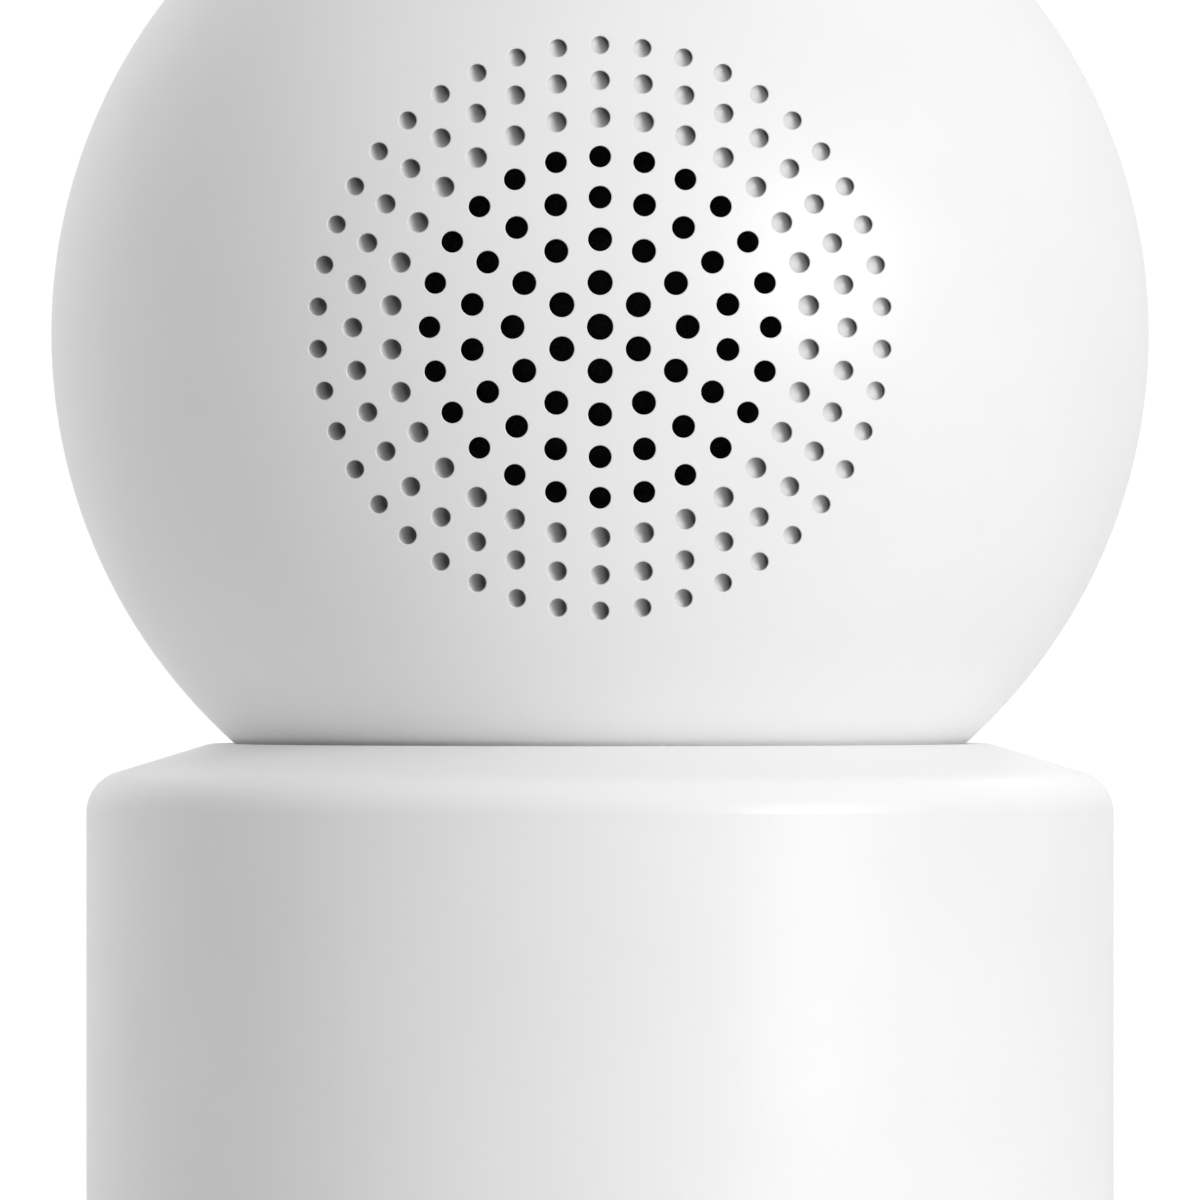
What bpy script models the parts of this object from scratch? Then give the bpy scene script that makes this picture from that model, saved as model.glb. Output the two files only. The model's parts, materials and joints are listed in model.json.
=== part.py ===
"""Smart speaker with a pan-and-tilt camera ball head.

A white ball sits in the coned collar of a round base. The ball holds the loudspeaker behind its
grille on the -Y side and the lens window on the +Y side. A turntable in the base pans the ball
about Z, and a yoke inside the ball tilts it about X through the ball's centre.

Origin: the centre of the foot's underside. The helpers take millimetres and make metres.
"""
import math

import bmesh
import bpy
from mathutils import Matrix, Vector

MM = 0.001

# Driving dimensions, in millimetres
BALL_RADIUS = 39.0
BALL_HEIGHT = 76.0            # the ball's centre, which the tilt axis runs through
BALL_WALL = 2.0
BASE_RADIUS = 36.5
BASE_WALL = 2.0
RIM_HEIGHT = 46.9             # the collar's top edge
LAND_RADIUS = 27.7            # where the collar's flat land meets its cone
CONE_ANGLE = 17.0             # degrees below level
SHOULDER_FILLET = 3.0
SHELL_BOTTOM = 1.5
COVER_TOP = 3.5
LIP_CLEARANCE = 0.35          # between the collar's lip and the ball

# Grille: rings of holes, six more in each ring, on the ball's -Y side
GRILLE_RINGS = 4
GRILLE_HOLE_RADIUS = 0.84
GRILLE_HOLE_STEP = 0.04       # each ring's holes are this much smaller in radius

# Tilt: the ball turns in the yoke between these limits, in degrees
TILT_DOWN = 10.0
TILT_UP = 24.0
NECK_HALF_WIDTH = 7.0
NECK_HALF_DEPTH = 3.0
SLOT_MARGIN = 5.4             # degrees of slot past the neck's middle at each limit

SEAM_FRONT = 3.15             # the front shell's edge, ahead of the ball's centre
SEAM_REAR = 2.85
WINDOW_ANGLE = 43.9           # the lens window's edge, in degrees off the lens axis
WINDOW_RECESS_ANGLE = 44.3
LENS_HOLE_RADIUS = 9.6

# Gears: module in millimetres, and numbers of teeth
PAN_MODULE = 0.8
PAN_TEETH = 48
PAN_PINION_TEETH = 12
TILT_MODULE = 0.6
TILT_TEETH = 34
TILT_PINION_TEETH = 10
PRESSURE_ANGLE = math.radians(25.0)
TOOTH_THINNING = 0.12         # backlash on each gear, at the pitch circle

PAN_AXIS_DISTANCE = PAN_MODULE * (PAN_TEETH + PAN_PINION_TEETH) / 2
TILT_AXIS_DISTANCE = TILT_MODULE * (TILT_TEETH + TILT_PINION_TEETH) / 2

BOSS_RADIUS = 31.2            # the base's screw columns stand on this circle
BOSS_ANGLES = (0.0, 120.0, 240.0)
SHELL_SCREWS = ((12.5, 20.5), (-12.5, 20.5), (12.0, -20.5), (-12.0, -20.5))
BOARD_POSTS = ((17.0, 14.0), (17.0, -14.0), (-17.0, -14.0))
SENSOR_POSTS = ((13.0, 13.0), (-13.0, -13.0))
INLET_HEIGHT = 9.1            # middle of the power inlet, on the base's -Y side
CHASSIS_MIDDLE = 29.0         # of the plate's thickness
PAN_MOTOR_Y = 21.8            # the motor's middle, whose shaft is nearer to the pan axis
TABLE_SCREW_X = 10.0          # the yoke's screws stand this far to each side of the pan axis
GEAR_SCREW_Y = 6.2            # the tilt gear's screws, to each side of the tilt axis
SERVICE_ELEVATION = -57.0     # card slot and reset button, below the lens window
BUTTON_SIDE = 11.0
ROUND = 32
MEDIUM_ROUND = 16
SMALL_ROUND = 12
SCREW_ROUND = 8

# Colours (linear red, green, blue), roughness and metallic value of each material
FINISHES = {
    "white_plastic": ((0.83, 0.83, 0.83), 0.42, 0.0),
    "black_gloss": ((0.006, 0.006, 0.007), 0.06, 0.0),
    "dark_plastic": ((0.03, 0.03, 0.032), 0.5, 0.0),
    "grey_plastic": ((0.32, 0.32, 0.33), 0.5, 0.0),
    "natural_plastic": ((0.75, 0.72, 0.64), 0.45, 0.0),
    "lens_glass": ((0.05, 0.06, 0.09), 0.03, 0.0),
    "rubber": ((0.03, 0.03, 0.03), 0.8, 0.0),
    "steel": ((0.56, 0.57, 0.58), 0.32, 1.0),
    "brass": ((0.72, 0.55, 0.27), 0.3, 1.0),
    "aluminium": ((0.75, 0.76, 0.78), 0.35, 1.0),
    "board_green": ((0.02, 0.12, 0.06), 0.4, 0.0),
    "cone_paper": ((0.02, 0.02, 0.02), 0.7, 0.0),
    "mesh_cloth": ((0.01, 0.01, 0.01), 0.9, 0.0),
}

# Euler angles that turn a piece's own Z onto each axis: for turned pieces, and for flat plates,
# whose own X and Y then lie along X and Z, or along Y and Z
TURNED = {"Z": (0.0, 0.0, 0.0), "Y": (-math.pi / 2, 0.0, 0.0), "X": (0.0, math.pi / 2, 0.0)}
FLAT = {"Z": (0.0, 0.0, 0.0), "Y": (math.pi / 2, 0.0, 0.0), "X": (math.pi / 2, 0.0, math.pi / 2)}

for old in list(bpy.data.objects):
    bpy.data.objects.remove(old, do_unlink=True)

parts = bpy.data.collections.new("smart_speaker")
cutters = bpy.data.collections.new("cutters")
bpy.context.scene.collection.children.link(parts)
bpy.context.scene.collection.children.link(cutters)


def finish(name):
    """The material of that name, made once."""
    material = bpy.data.materials.get(name)
    if material is None:
        colour, roughness, metallic = FINISHES[name]
        material = bpy.data.materials.new(name)
        material.use_nodes = True
        shader = material.node_tree.nodes["Principled BSDF"]
        shader.inputs["Base Color"].default_value = (*colour, 1.0)
        shader.inputs["Roughness"].default_value = roughness
        shader.inputs["Metallic"].default_value = metallic
    return material


def pivot(name, location, parent=None):
    """An empty on a joint's axis."""
    empty = bpy.data.objects.new(name, None)
    parts.objects.link(empty)
    empty.parent = parent
    empty.location = [value * MM for value in location]
    return empty


pan_axis = pivot("pan_axis", (0, 0, 0))
tilt_axis = pivot("tilt_axis", (0, 0, BALL_HEIGHT), pan_axis)


def place(name, mesh, material=None, location=(0, 0, 0), rotation=(0, 0, 0), parent=None):
    """Makes the object: a part if it has a material, or else a cutter."""
    piece = bpy.data.objects.new(name, mesh)
    if material:
        mesh.materials.append(finish(material))
        parts.objects.link(piece)
    else:
        cutters.objects.link(piece)
        piece.hide_render = True
        piece.display_type = "WIRE"
    piece.parent = parent
    piece.location = [value * MM for value in location]
    piece.rotation_euler = rotation
    return piece


def smooth(mesh, angle=35.0):
    mesh.shade_smooth()
    mesh.set_sharp_from_angle(angle=math.radians(angle))


def box(name, size, location=(0, 0, 0), material=None, parent=None, rotation=(0, 0, 0)):
    mesh = bpy.data.meshes.new(name)
    form = bmesh.new()
    bmesh.ops.create_cube(form, size=MM, matrix=Matrix.Diagonal((*size, 1.0)))
    form.to_mesh(mesh)
    form.free()
    return place(name, mesh, material, location, rotation, parent)


def cylinder(name, radius, length, location=(0, 0, 0), material=None, parent=None, axis="Z",
             segments=SMALL_ROUND, rotation=None):
    """A cylinder with its middle at the location."""
    mesh = bpy.data.meshes.new(name)
    form = bmesh.new()
    bmesh.ops.create_cone(form, cap_ends=True, segments=segments, radius1=radius * MM,
                          radius2=radius * MM, depth=length * MM)
    form.to_mesh(mesh)
    form.free()
    smooth(mesh)
    return place(name, mesh, material, location, rotation or TURNED[axis], parent)


def turned(name, outline, material=None, location=(0, 0, 0), parent=None, axis="Z",
           segments=ROUND, ring=True, rotation=None):
    """A turned piece. The outline, as (radius, height), runs down its outer side and up its inner
    one. A ring's outline is closed, and another's starts and ends on the axis."""
    mesh = bpy.data.meshes.new(name)
    count = len(outline)
    edges = [(i, (i + 1) % count) for i in range(count if ring else count - 1)]
    mesh.from_pydata([(r * MM, 0.0, h * MM) for r, h in outline], edges, [])
    piece = place(name, mesh, material, location, rotation or TURNED[axis], parent)
    screw = piece.modifiers.new("turn", "SCREW")
    screw.steps = segments
    screw.render_steps = segments
    screw.use_merge_vertices = True
    screw.merge_threshold = 0.000002
    return piece


def screw(name, tip, seat, top, location, parent=None, axis="Z", head=1.9, shank=0.85):
    """A pan-head screw: where its tip, the underside of its head and its top lie on its axis."""
    outline = [(0, top), (head, top), (head, seat), (shank, seat), (shank, tip), (0, tip)]
    if top < tip:
        outline.reverse()
    return turned(name, outline, "steel", location, parent, axis, SCREW_ROUND, False)


def plate(name, outlines, thickness, material=None, location=(0, 0, 0), parent=None, axis="Z"):
    """A flat piece with its middle plane at the location: an outline and any holes in it."""
    curve = bpy.data.curves.new(name, "CURVE")
    curve.dimensions = "2D"
    curve.fill_mode = "BOTH"
    curve.extrude = thickness / 2 * MM
    for outline in outlines:
        spline = curve.splines.new("POLY")
        spline.points.add(len(outline) - 1)
        for point, (x, y) in zip(spline.points, outline):
            point.co = (x * MM, y * MM, 0.0, 1.0)
        spline.use_cyclic_u = True
    drawn = bpy.data.objects.new(name, curve)
    cutters.objects.link(drawn)
    evaluated = drawn.evaluated_get(bpy.context.evaluated_depsgraph_get())
    mesh = bpy.data.meshes.new_from_object(evaluated)
    bpy.data.objects.remove(drawn)
    bpy.data.curves.remove(curve)
    form = bmesh.new()
    form.from_mesh(mesh)
    bmesh.ops.remove_doubles(form, verts=form.verts, dist=0.000001)
    form.to_mesh(mesh)
    form.free()
    mesh.materials.clear()
    return place(name, mesh, material, location, FLAT[axis], parent)


def wire(name, points, radius, material, parent=None, location=(0, 0, 0)):
    """A round cable through the points."""
    curve = bpy.data.curves.new(name, "CURVE")
    curve.dimensions = "3D"
    curve.bevel_depth = radius * MM
    curve.bevel_resolution = 2
    curve.use_fill_caps = True
    spline = curve.splines.new("POLY")
    spline.points.add(len(points) - 1)
    for point, position in zip(spline.points, points):
        point.co = (*[value * MM for value in position], 1.0)
    curve.materials.append(finish(material))
    cable = bpy.data.objects.new(name, curve)
    parts.objects.link(cable)
    cable.parent = parent
    cable.location = [value * MM for value in location]
    return cable


def combine(piece, tool, operation):
    step = piece.modifiers.new(operation.lower(), "BOOLEAN")
    step.operation = operation
    step.solver = "EXACT"
    step.object = tool
    return piece


def cut(piece, *tools):
    for tool in tools:
        combine(piece, tool, "DIFFERENCE")
    return piece


def join(piece, *tools):
    for tool in tools:
        combine(piece, tool, "UNION")
    return piece


def polar(radius, degrees):
    """A point on a circle, measured from +X towards +Y."""
    angle = math.radians(degrees)
    return (radius * math.cos(angle), radius * math.sin(angle))


def arc(centre, radius, start, end, steps):
    """Points on an arc about a centre, from start to end degrees."""
    points = []
    for i in range(steps + 1):
        x, y = polar(radius, start + (end - start) * i / steps)
        points.append((centre[0] + x, centre[1] + y))
    return points


def circle(radius, segments, centre=(0.0, 0.0)):
    return arc(centre, radius, 0.0, 360.0 * (segments - 1) / segments, segments - 1)


def stadium(width, height, steps=5):
    """A slot's outline with round ends, lying along the first axis."""
    end = (width - height) / 2
    right = arc((end, 0.0), height / 2, -90.0, 90.0, steps)
    left = arc((-end, 0.0), height / 2, 90.0, 270.0, steps)
    return right + left


def sphere_height(radius, out):
    """How far along a sphere's axis its surface lies, at a distance out from that axis."""
    return math.sqrt(radius * radius - out * out)


def gear(teeth, module, tooth_at, bore, bore_segments=SMALL_ROUND):
    """The outline of an involute gear with stub teeth, one of them at the angle tooth_at."""
    pitch = module * teeth / 2
    base = pitch * math.cos(PRESSURE_ANGLE)
    tip = pitch + 0.8 * module
    root = pitch - 1.1 * module

    def involute(radius):
        roll = math.acos(min(1.0, base / radius))
        return math.tan(roll) - roll

    def half_tooth(radius):
        at_pitch = math.pi / (2 * teeth) - TOOTH_THINNING / (2 * pitch)
        return math.degrees(at_pitch + involute(pitch) - involute(max(radius, base)))

    outline = []
    for i in range(teeth):
        middle = tooth_at + 360.0 * i / teeth
        for radius, side in ((root, -1), (tip, -1), (tip, 1), (root, 1)):
            outline.append(polar(radius, middle + side * half_tooth(radius)))
    holes = [circle(bore, bore_segments)] if bore else []
    return [outline] + holes


def service_point(side, distance):
    """A point on the radial line through the reset button or the card slot, in the ball."""
    across = math.asin(side / BALL_RADIUS)
    down = math.radians(SERVICE_ELEVATION)
    return Vector((math.sin(across), math.cos(across) * math.cos(down),
                   math.cos(across) * math.sin(down))) * distance


# ---------------------------------------------------------------- base

def make_base_shell():
    """The outer cover: a wall, a filleted shoulder, a cone and a lip that follows the ball."""
    inner = BASE_RADIUS - BASE_WALL
    slope = math.tan(math.radians(CONE_ANGLE))
    fillet_x = BASE_RADIUS - SHOULDER_FILLET
    reach = SHOULDER_FILLET * math.sin(math.radians(CONE_ANGLE))
    cone_end = RIM_HEIGHT - (fillet_x + reach - LAND_RADIUS) * slope
    fillet_z = cone_end - SHOULDER_FILLET * math.cos(math.radians(CONE_ANGLE))
    lip = BALL_RADIUS + LIP_CLEARANCE
    rim_inner = sphere_height(lip, BALL_HEIGHT - RIM_HEIGHT)
    lip_inner = 24.6
    outline = [(rim_inner, RIM_HEIGHT), (LAND_RADIUS, RIM_HEIGHT)]
    outline += arc((fillet_x, fillet_z), SHOULDER_FILLET, 90.0 - CONE_ANGLE, 0.0, 4)
    outline += [(BASE_RADIUS, SHELL_BOTTOM + 0.6), (BASE_RADIUS - 0.6, SHELL_BOTTOM), (inner, SHELL_BOTTOM)]
    outline += [(inner, 41.2), (33.3, 42.8), (27.0, 43.6), (lip_inner, 43.6)]
    outline += [(r, BALL_HEIGHT - sphere_height(lip, r)) for r in (lip_inner, 25.5)]
    shell = turned("base_shell", outline, "white_plastic")
    for i, angle in enumerate(BOSS_ANGLES):
        x, y = polar(BOSS_RADIUS, angle)
        middle, height = 15.75, 23.9
        column = cylinder(f"base_column_{i}", 2.6, height, (x, y, middle))
        web = box(f"base_web_{i}", (4.3, 2.0, height - 0.4), (*polar(33.2, angle), middle),
                  rotation=(0, 0, math.radians(angle)))
        bore = cylinder(f"base_bore_{i}", 1.15, height + 2, (x, y, middle), segments=SCREW_ROUND)
        join(shell, web, column)
        cut(shell, bore)
    place_out = (0, -BASE_RADIUS, INLET_HEIGHT)
    return cut(shell, plate("inlet_recess", [stadium(11.0, 5.0)], 6.0, None, place_out, None, "Y"))


def make_bottom():
    """The cover, foot, weight and tripod nut under the base."""
    cover = turned("bottom_cover", [(33.8, COVER_TOP), (34.2, 3.1), (34.2, SHELL_BOTTOM),
                                    (6.4, SHELL_BOTTOM), (6.4, COVER_TOP)], "white_plastic")
    for i, angle in enumerate(BOSS_ANGLES):
        x, y = polar(BOSS_RADIUS, angle)
        cut(cover, cylinder(f"cover_hole_{i}", 1.2, 6.0, (x, y, 2.5), segments=SCREW_ROUND),
            cylinder(f"cover_sink_{i}", 2.2, 3.0, (x, y, 1.5)))
        screw(f"cover_screw_{i + 1}", 9.0, 2.7, 1.7, (x, y, 0), shank=0.9)
    turned("foot_ring", [(33.4, 1.2), (33.4, 0.0), (27.0, 0.0), (27.0, 1.2)], "rubber")
    turned("ballast_plate", [(28.3, 6.8), (28.3, 3.8), (8.6, 3.8), (8.6, 6.8)], "steel",
           segments=MEDIUM_ROUND)
    turned("tripod_insert", [(0, 9.6), (6.0, 9.6), (6.0, 5.6), (8.2, 5.6), (8.2, 3.8), (6.0, 3.8),
                             (6.0, 1.6), (3.7, 1.6), (3.2, 2.1), (3.2, 8.6), (0, 8.6)], "brass",
           segments=MEDIUM_ROUND, ring=False)


def make_inlet():
    """The power board and its socket, which faces out of the base's -Y side."""
    board = [(-18, -21), (-15, -24), (-6, -26), (-6, -32.5), (6, -32.5), (6, -26), (15, -24), (18, -21),
             (18, 8), (-18, 8)]
    power = plate("base_board", [board], 1.6, "board_green", (0, 0, 11.8))
    join(power, box("cable_connector", (6.0, 5.0, 3.0), (0, 0, 13.8)),
         box("power_coil", (7.0, 7.0, 4.0), (-9.0, -10.0, 14.4)),
         box("power_chip", (6.0, 6.0, 1.4), (8.0, -12.0, 13.2)),
         cylinder("power_capacitor", 3.0, 7.0, (10.0, 0.5, 15.9), segments=SMALL_ROUND))
    socket = plate("usb_socket", [stadium(9.0, 3.2)], 7.2, "steel", (0, -31.7, INLET_HEIGHT), None, "Y")
    pocket = plate("usb_pocket", [stadium(8.3, 2.5)], 6.4, None, (0, -32.6, INLET_HEIGHT), None, "Y")
    tongue = box("usb_tongue", (6.6, 5.0, 0.7), (0, -31.2, INLET_HEIGHT))
    cut(socket, pocket)
    join(socket, tongue)


def make_chassis():
    """The plate inside the base, with the pan bearing's hub and the post that stops the pan."""
    chassis = turned("chassis", [(34.2, 30.0), (34.2, 28.0), (11.0, 28.0), (11.0, 24.0), (9.0, 24.0),
                                 (9.0, 30.0)], "grey_plastic")
    stop = plate("stop_post", [arc((0, 0), 15.8, -94.4, -85.6, 2) + arc((0, 0), 12.2, -85.6, -94.4, 2)],
                 2.0, None, (0, 0, 30.3))
    join(chassis, stop)
    cut(chassis, cylinder("shaft_opening", 4.5, 6.0, (0, PAN_AXIS_DISTANCE, CHASSIS_MIDDLE)))
    for side in (-1, 1):
        cut(chassis, cylinder(f"motor_bolt_{side}", 1.0, 6.0, (13.4 * side, PAN_MOTOR_Y, CHASSIS_MIDDLE),
                              segments=SCREW_ROUND))
    for i, angle in enumerate(BOSS_ANGLES):
        x, y = polar(BOSS_RADIUS, angle)
        cut(chassis, cylinder(f"chassis_hole_{i}", 1.2, 6.0, (x, y, CHASSIS_MIDDLE), segments=SCREW_ROUND))
        screw(f"chassis_screw_{i + 1}", 21.0, 30.3, 31.6, (x, y, 0), shank=0.9)
    turned("pan_bush", [(10.9, 31.2), (10.9, 30.3), (8.7, 30.3), (8.7, 24.3), (7.7, 24.3), (7.7, 31.2)],
           "natural_plastic", segments=MEDIUM_ROUND)
    turned("collar_seal", [(27.6, 43.3), (27.6, 42.3), (21.8, 42.3), (21.8, 43.3)], "rubber")


def make_pan_motor():
    """A geared stepping motor hung under the chassis, with its shaft off its centre."""
    motor = cylinder("pan_motor", 10.0, 18.0, (0, PAN_MOTOR_Y, 18.7), "steel", segments=MEDIUM_ROUND)
    ears = plate("pan_motor_ears", [stadium(32.0, 6.0)], 0.8, None, (0, PAN_MOTOR_Y, 27.2))
    neck = cylinder("pan_motor_neck", 4.1, 3.0, (0, PAN_AXIS_DISTANCE, 28.0))
    join(motor, ears, neck)
    cut(motor, cylinder("pan_motor_socket", 1.5, 8.0, (0, PAN_AXIS_DISTANCE, 27.0), segments=SCREW_ROUND))
    for side in (-1, 1):
        cut(motor, cylinder(f"ear_hole_{side}", 1.0, 4.0, (13.4 * side, PAN_MOTOR_Y, 27.0),
                            segments=SCREW_ROUND))


def make_pan_pinion():
    axle = pivot("pan_pinion_axis", (0, PAN_AXIS_DISTANCE, 0))
    tooth_at = 270.0 + 180.0 / PAN_PINION_TEETH
    pinion = plate("pan_pinion", gear(PAN_PINION_TEETH, PAN_MODULE, tooth_at, 0), 2.2,
                   "natural_plastic", (0, 0, 32.5), axle)
    shaft = cylinder("pan_shaft", 1.1, 10.4, (0, 0, 28.9), None, axle, segments=SCREW_ROUND)
    join(pinion, shaft)


# ---------------------------------------------------------------- pan carriage

def make_turntable():
    """The geared disc, with its spigot in the pan bush and the tab that meets the stop post."""
    table = plate("turntable", gear(PAN_TEETH, PAN_MODULE, 90.0, 6.3, 15), 2.0, "natural_plastic",
                  (0, 0, 32.6), pan_axis)
    outline = [(7.5, 33.4), (7.5, 24.1), (6.9, 24.1), (6.9, 23.1), (7.5, 23.1), (7.5, 22.3), (4.8, 22.3),
               (4.8, 33.4)]
    spigot = turned("spigot", outline, segments=MEDIUM_ROUND, parent=pan_axis)
    tab = plate("stop_tab", [arc((0, 0), 15.8, 85.6, 94.4, 2) + arc((0, 0), 12.2, 94.4, 85.6, 2)],
                1.6, None, (0, 0, 31.3), pan_axis)
    join(table, spigot, tab)
    for side in (-1, 1):
        cut(table, cylinder(f"table_hole_{side}", 1.15, 6.0, (TABLE_SCREW_X * side, 0, 32.6), None,
                            pan_axis, segments=SCREW_ROUND))
    turned("retaining_ring", [(9.6, 23.85), (9.6, 23.35), (7.15, 23.35), (7.15, 23.85)], "steel",
           segments=MEDIUM_ROUND, parent=pan_axis)


def make_yoke():
    """A half ring that holds the ball's pins, on a neck that enters the ball through its slot."""
    outer, inner, end = 35.8, 32.8, 9.0
    neck = math.degrees(math.asin(NECK_HALF_WIDTH / outer))
    outline = arc((0, 0), outer, -end, -90.0 + neck, 6)
    outline += [(NECK_HALF_WIDTH, -41.2), (-NECK_HALF_WIDTH, -41.2)]
    outline += arc((0, 0), outer, -90.0 - neck, -180.0 + end, 6)
    outline += arc((0, 0), inner, -180.0 + end, -end, 14)
    yoke = plate("yoke", [outline], 2 * NECK_HALF_DEPTH, "grey_plastic", (0, 0, BALL_HEIGHT), pan_axis, "Y")
    foot = plate("yoke_foot", [stadium(27.0, 11.0)], 2.1, None, (0, 0, 34.95), pan_axis)
    bore = cylinder("yoke_bore", 1.9, 12.0, (0, 0, 39.0), None, pan_axis, segments=SCREW_ROUND)
    join(yoke, foot)
    for side, word in ((-1, "left"), (1, "right")):
        eye = (32.0 * side, 0, BALL_HEIGHT)
        pad = cylinder(f"yoke_pad_{word}", 8.5, 3.0, eye, None, pan_axis, "X", MEDIUM_ROUND)
        hole = cylinder(f"pad_hole_{word}", 3.3, 8.0, eye, None, pan_axis, "X")
        join(yoke, pad)
        cut(yoke, hole)
        outline = [(4.5, 1.75), (4.5, 1.05), (3.05, 1.05), (3.05, -1.75), (2.15, -1.75), (2.15, 1.75)]
        turned(f"yoke_bush_{word}", outline, "natural_plastic", (32.75 * side, 0, BALL_HEIGHT), pan_axis,
               segments=SMALL_ROUND, rotation=(0.0, side * math.pi / 2, 0.0))
        cut(yoke, cylinder(f"foot_hole_{word}", 1.15, 6.0, (TABLE_SCREW_X * side, 0, 35.0), None, pan_axis,
                           segments=SCREW_ROUND))
        screw(f"yoke_screw_{word}", 31.9, 36.3, 37.5, (TABLE_SCREW_X * side, 0, 0), pan_axis)
    cut(yoke, bore)
    for side in (-1, 1):
        cut(yoke, cylinder(f"gear_bolt_{side}", 0.95, 8.0, (-32.0, GEAR_SCREW_Y * side, BALL_HEIGHT), None,
                           pan_axis, "X", SCREW_ROUND))


def make_tilt_gear():
    """The gear fixed to the yoke's left pad. The tilt motor's pinion walks round it."""
    x = -28.95
    fixed = plate("tilt_gear", gear(TILT_TEETH, TILT_MODULE, 90.0, 3.6), 2.5, "natural_plastic",
                  (x, 0, BALL_HEIGHT), pan_axis, "X")
    for i, side in enumerate((-1, 1)):
        y = GEAR_SCREW_Y * side
        cut(fixed, cylinder(f"gear_hole_{i}", 0.95, 8.0, (x, y, BALL_HEIGHT), None, pan_axis, "X",
                            SCREW_ROUND),
            cylinder(f"gear_sink_{i}", 1.75, 2.4, (x + 1.25, y, BALL_HEIGHT), None, pan_axis, "X",
                     SCREW_ROUND))
        screw(f"gear_screw_{i + 1}", -3.6, 0.3, 1.1, (x, y, BALL_HEIGHT), pan_axis, "X", 1.45, 0.65)


def make_yoke_cable():
    """The cable from the base's board, up the pan axis and along the yoke to its right arm."""
    track = 31.2
    points = [(0, 0, 15.8), (0, 0, 28.0), (0, 0, 40.0), (0.1, 0, 43.2), (1.2, 0, 44.7)]
    for i in range(11):
        x, z = polar(track, -84.0 + 5.8 * i)
        points.append((x, 0, BALL_HEIGHT + z))
    wire("yoke_cable", points, 1.25, "dark_plastic", pan_axis)


# ---------------------------------------------------------------- ball head

def slot_cutter(name):
    """The opening in the ball's underside that the yoke's neck moves in."""
    rear = -90.0 - TILT_UP - SLOT_MARGIN
    front = -90.0 + TILT_DOWN + SLOT_MARGIN
    outline = arc((0, 0), 43.0, rear, front, 8) + arc((0, 0), 34.0, front, rear, 8)
    return plate(name, [outline], 2 * NECK_HALF_WIDTH + 2.0, None, (0, 0, 0), tilt_axis, "X")


def grille_holes():
    """One cutter for all the openings, in rings about the ball's -Y pole, square to its face."""
    form = bmesh.new()
    for ring in range(GRILLE_RINGS + 1):
        angle = math.radians(4.5 * ring - 0.03 * ring * (ring - 1))
        out = BALL_RADIUS * math.sin(angle)
        radius = GRILLE_HOLE_RADIUS - GRILLE_HOLE_STEP * ring
        for i in range(max(1, 6 * ring)):
            z, x = polar(out, 360.0 * i / max(1, 6 * ring))
            turn = Matrix.Rotation(math.pi / 2, 4, "X")
            bmesh.ops.create_cone(form, cap_ends=True, segments=6, radius1=radius * MM,
                                  radius2=radius * MM, depth=8.0 * MM,
                                  matrix=Matrix.Translation((x * MM, -37.0 * MM, z * MM)) @ turn)
    mesh = bpy.data.meshes.new("grille_holes")
    form.to_mesh(mesh)
    form.free()
    return place("grille_holes", mesh, parent=tilt_axis)


def make_rear_shell():
    """The half of the ball that holds the loudspeaker."""
    mesh = bpy.data.meshes.new("rear_shell")
    form = bmesh.new()
    bmesh.ops.create_uvsphere(form, u_segments=36, v_segments=18, radius=BALL_RADIUS * MM)
    everything = form.verts[:] + form.edges[:] + form.faces[:]
    bmesh.ops.bisect_plane(form, geom=everything, dist=1e-7, plane_co=(0, SEAM_REAR * MM, 0),
                           plane_no=(0, 1, 0), clear_outer=True)
    form.to_mesh(mesh)
    form.free()
    smooth(mesh)
    shell = place("rear_shell", mesh, "white_plastic", parent=tilt_axis)
    wall = shell.modifiers.new("wall", "SOLIDIFY")
    wall.thickness = BALL_WALL * MM
    wall.offset = -1.0
    wall.use_even_offset = True
    for i, (x, z) in enumerate(SHELL_SCREWS):
        join(shell, cylinder(f"rear_boss_{i}", 3.0, 27.5, (x, -13.25, z), None, tilt_axis, "Y",
                             SCREW_ROUND))
        cut(shell, cylinder(f"rear_bore_{i}", 1.15, 18.0, (x, -7.0, z), None, tilt_axis, "Y", SCREW_ROUND))
    return cut(shell, slot_cutter("rear_slot"), grille_holes())


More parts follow.
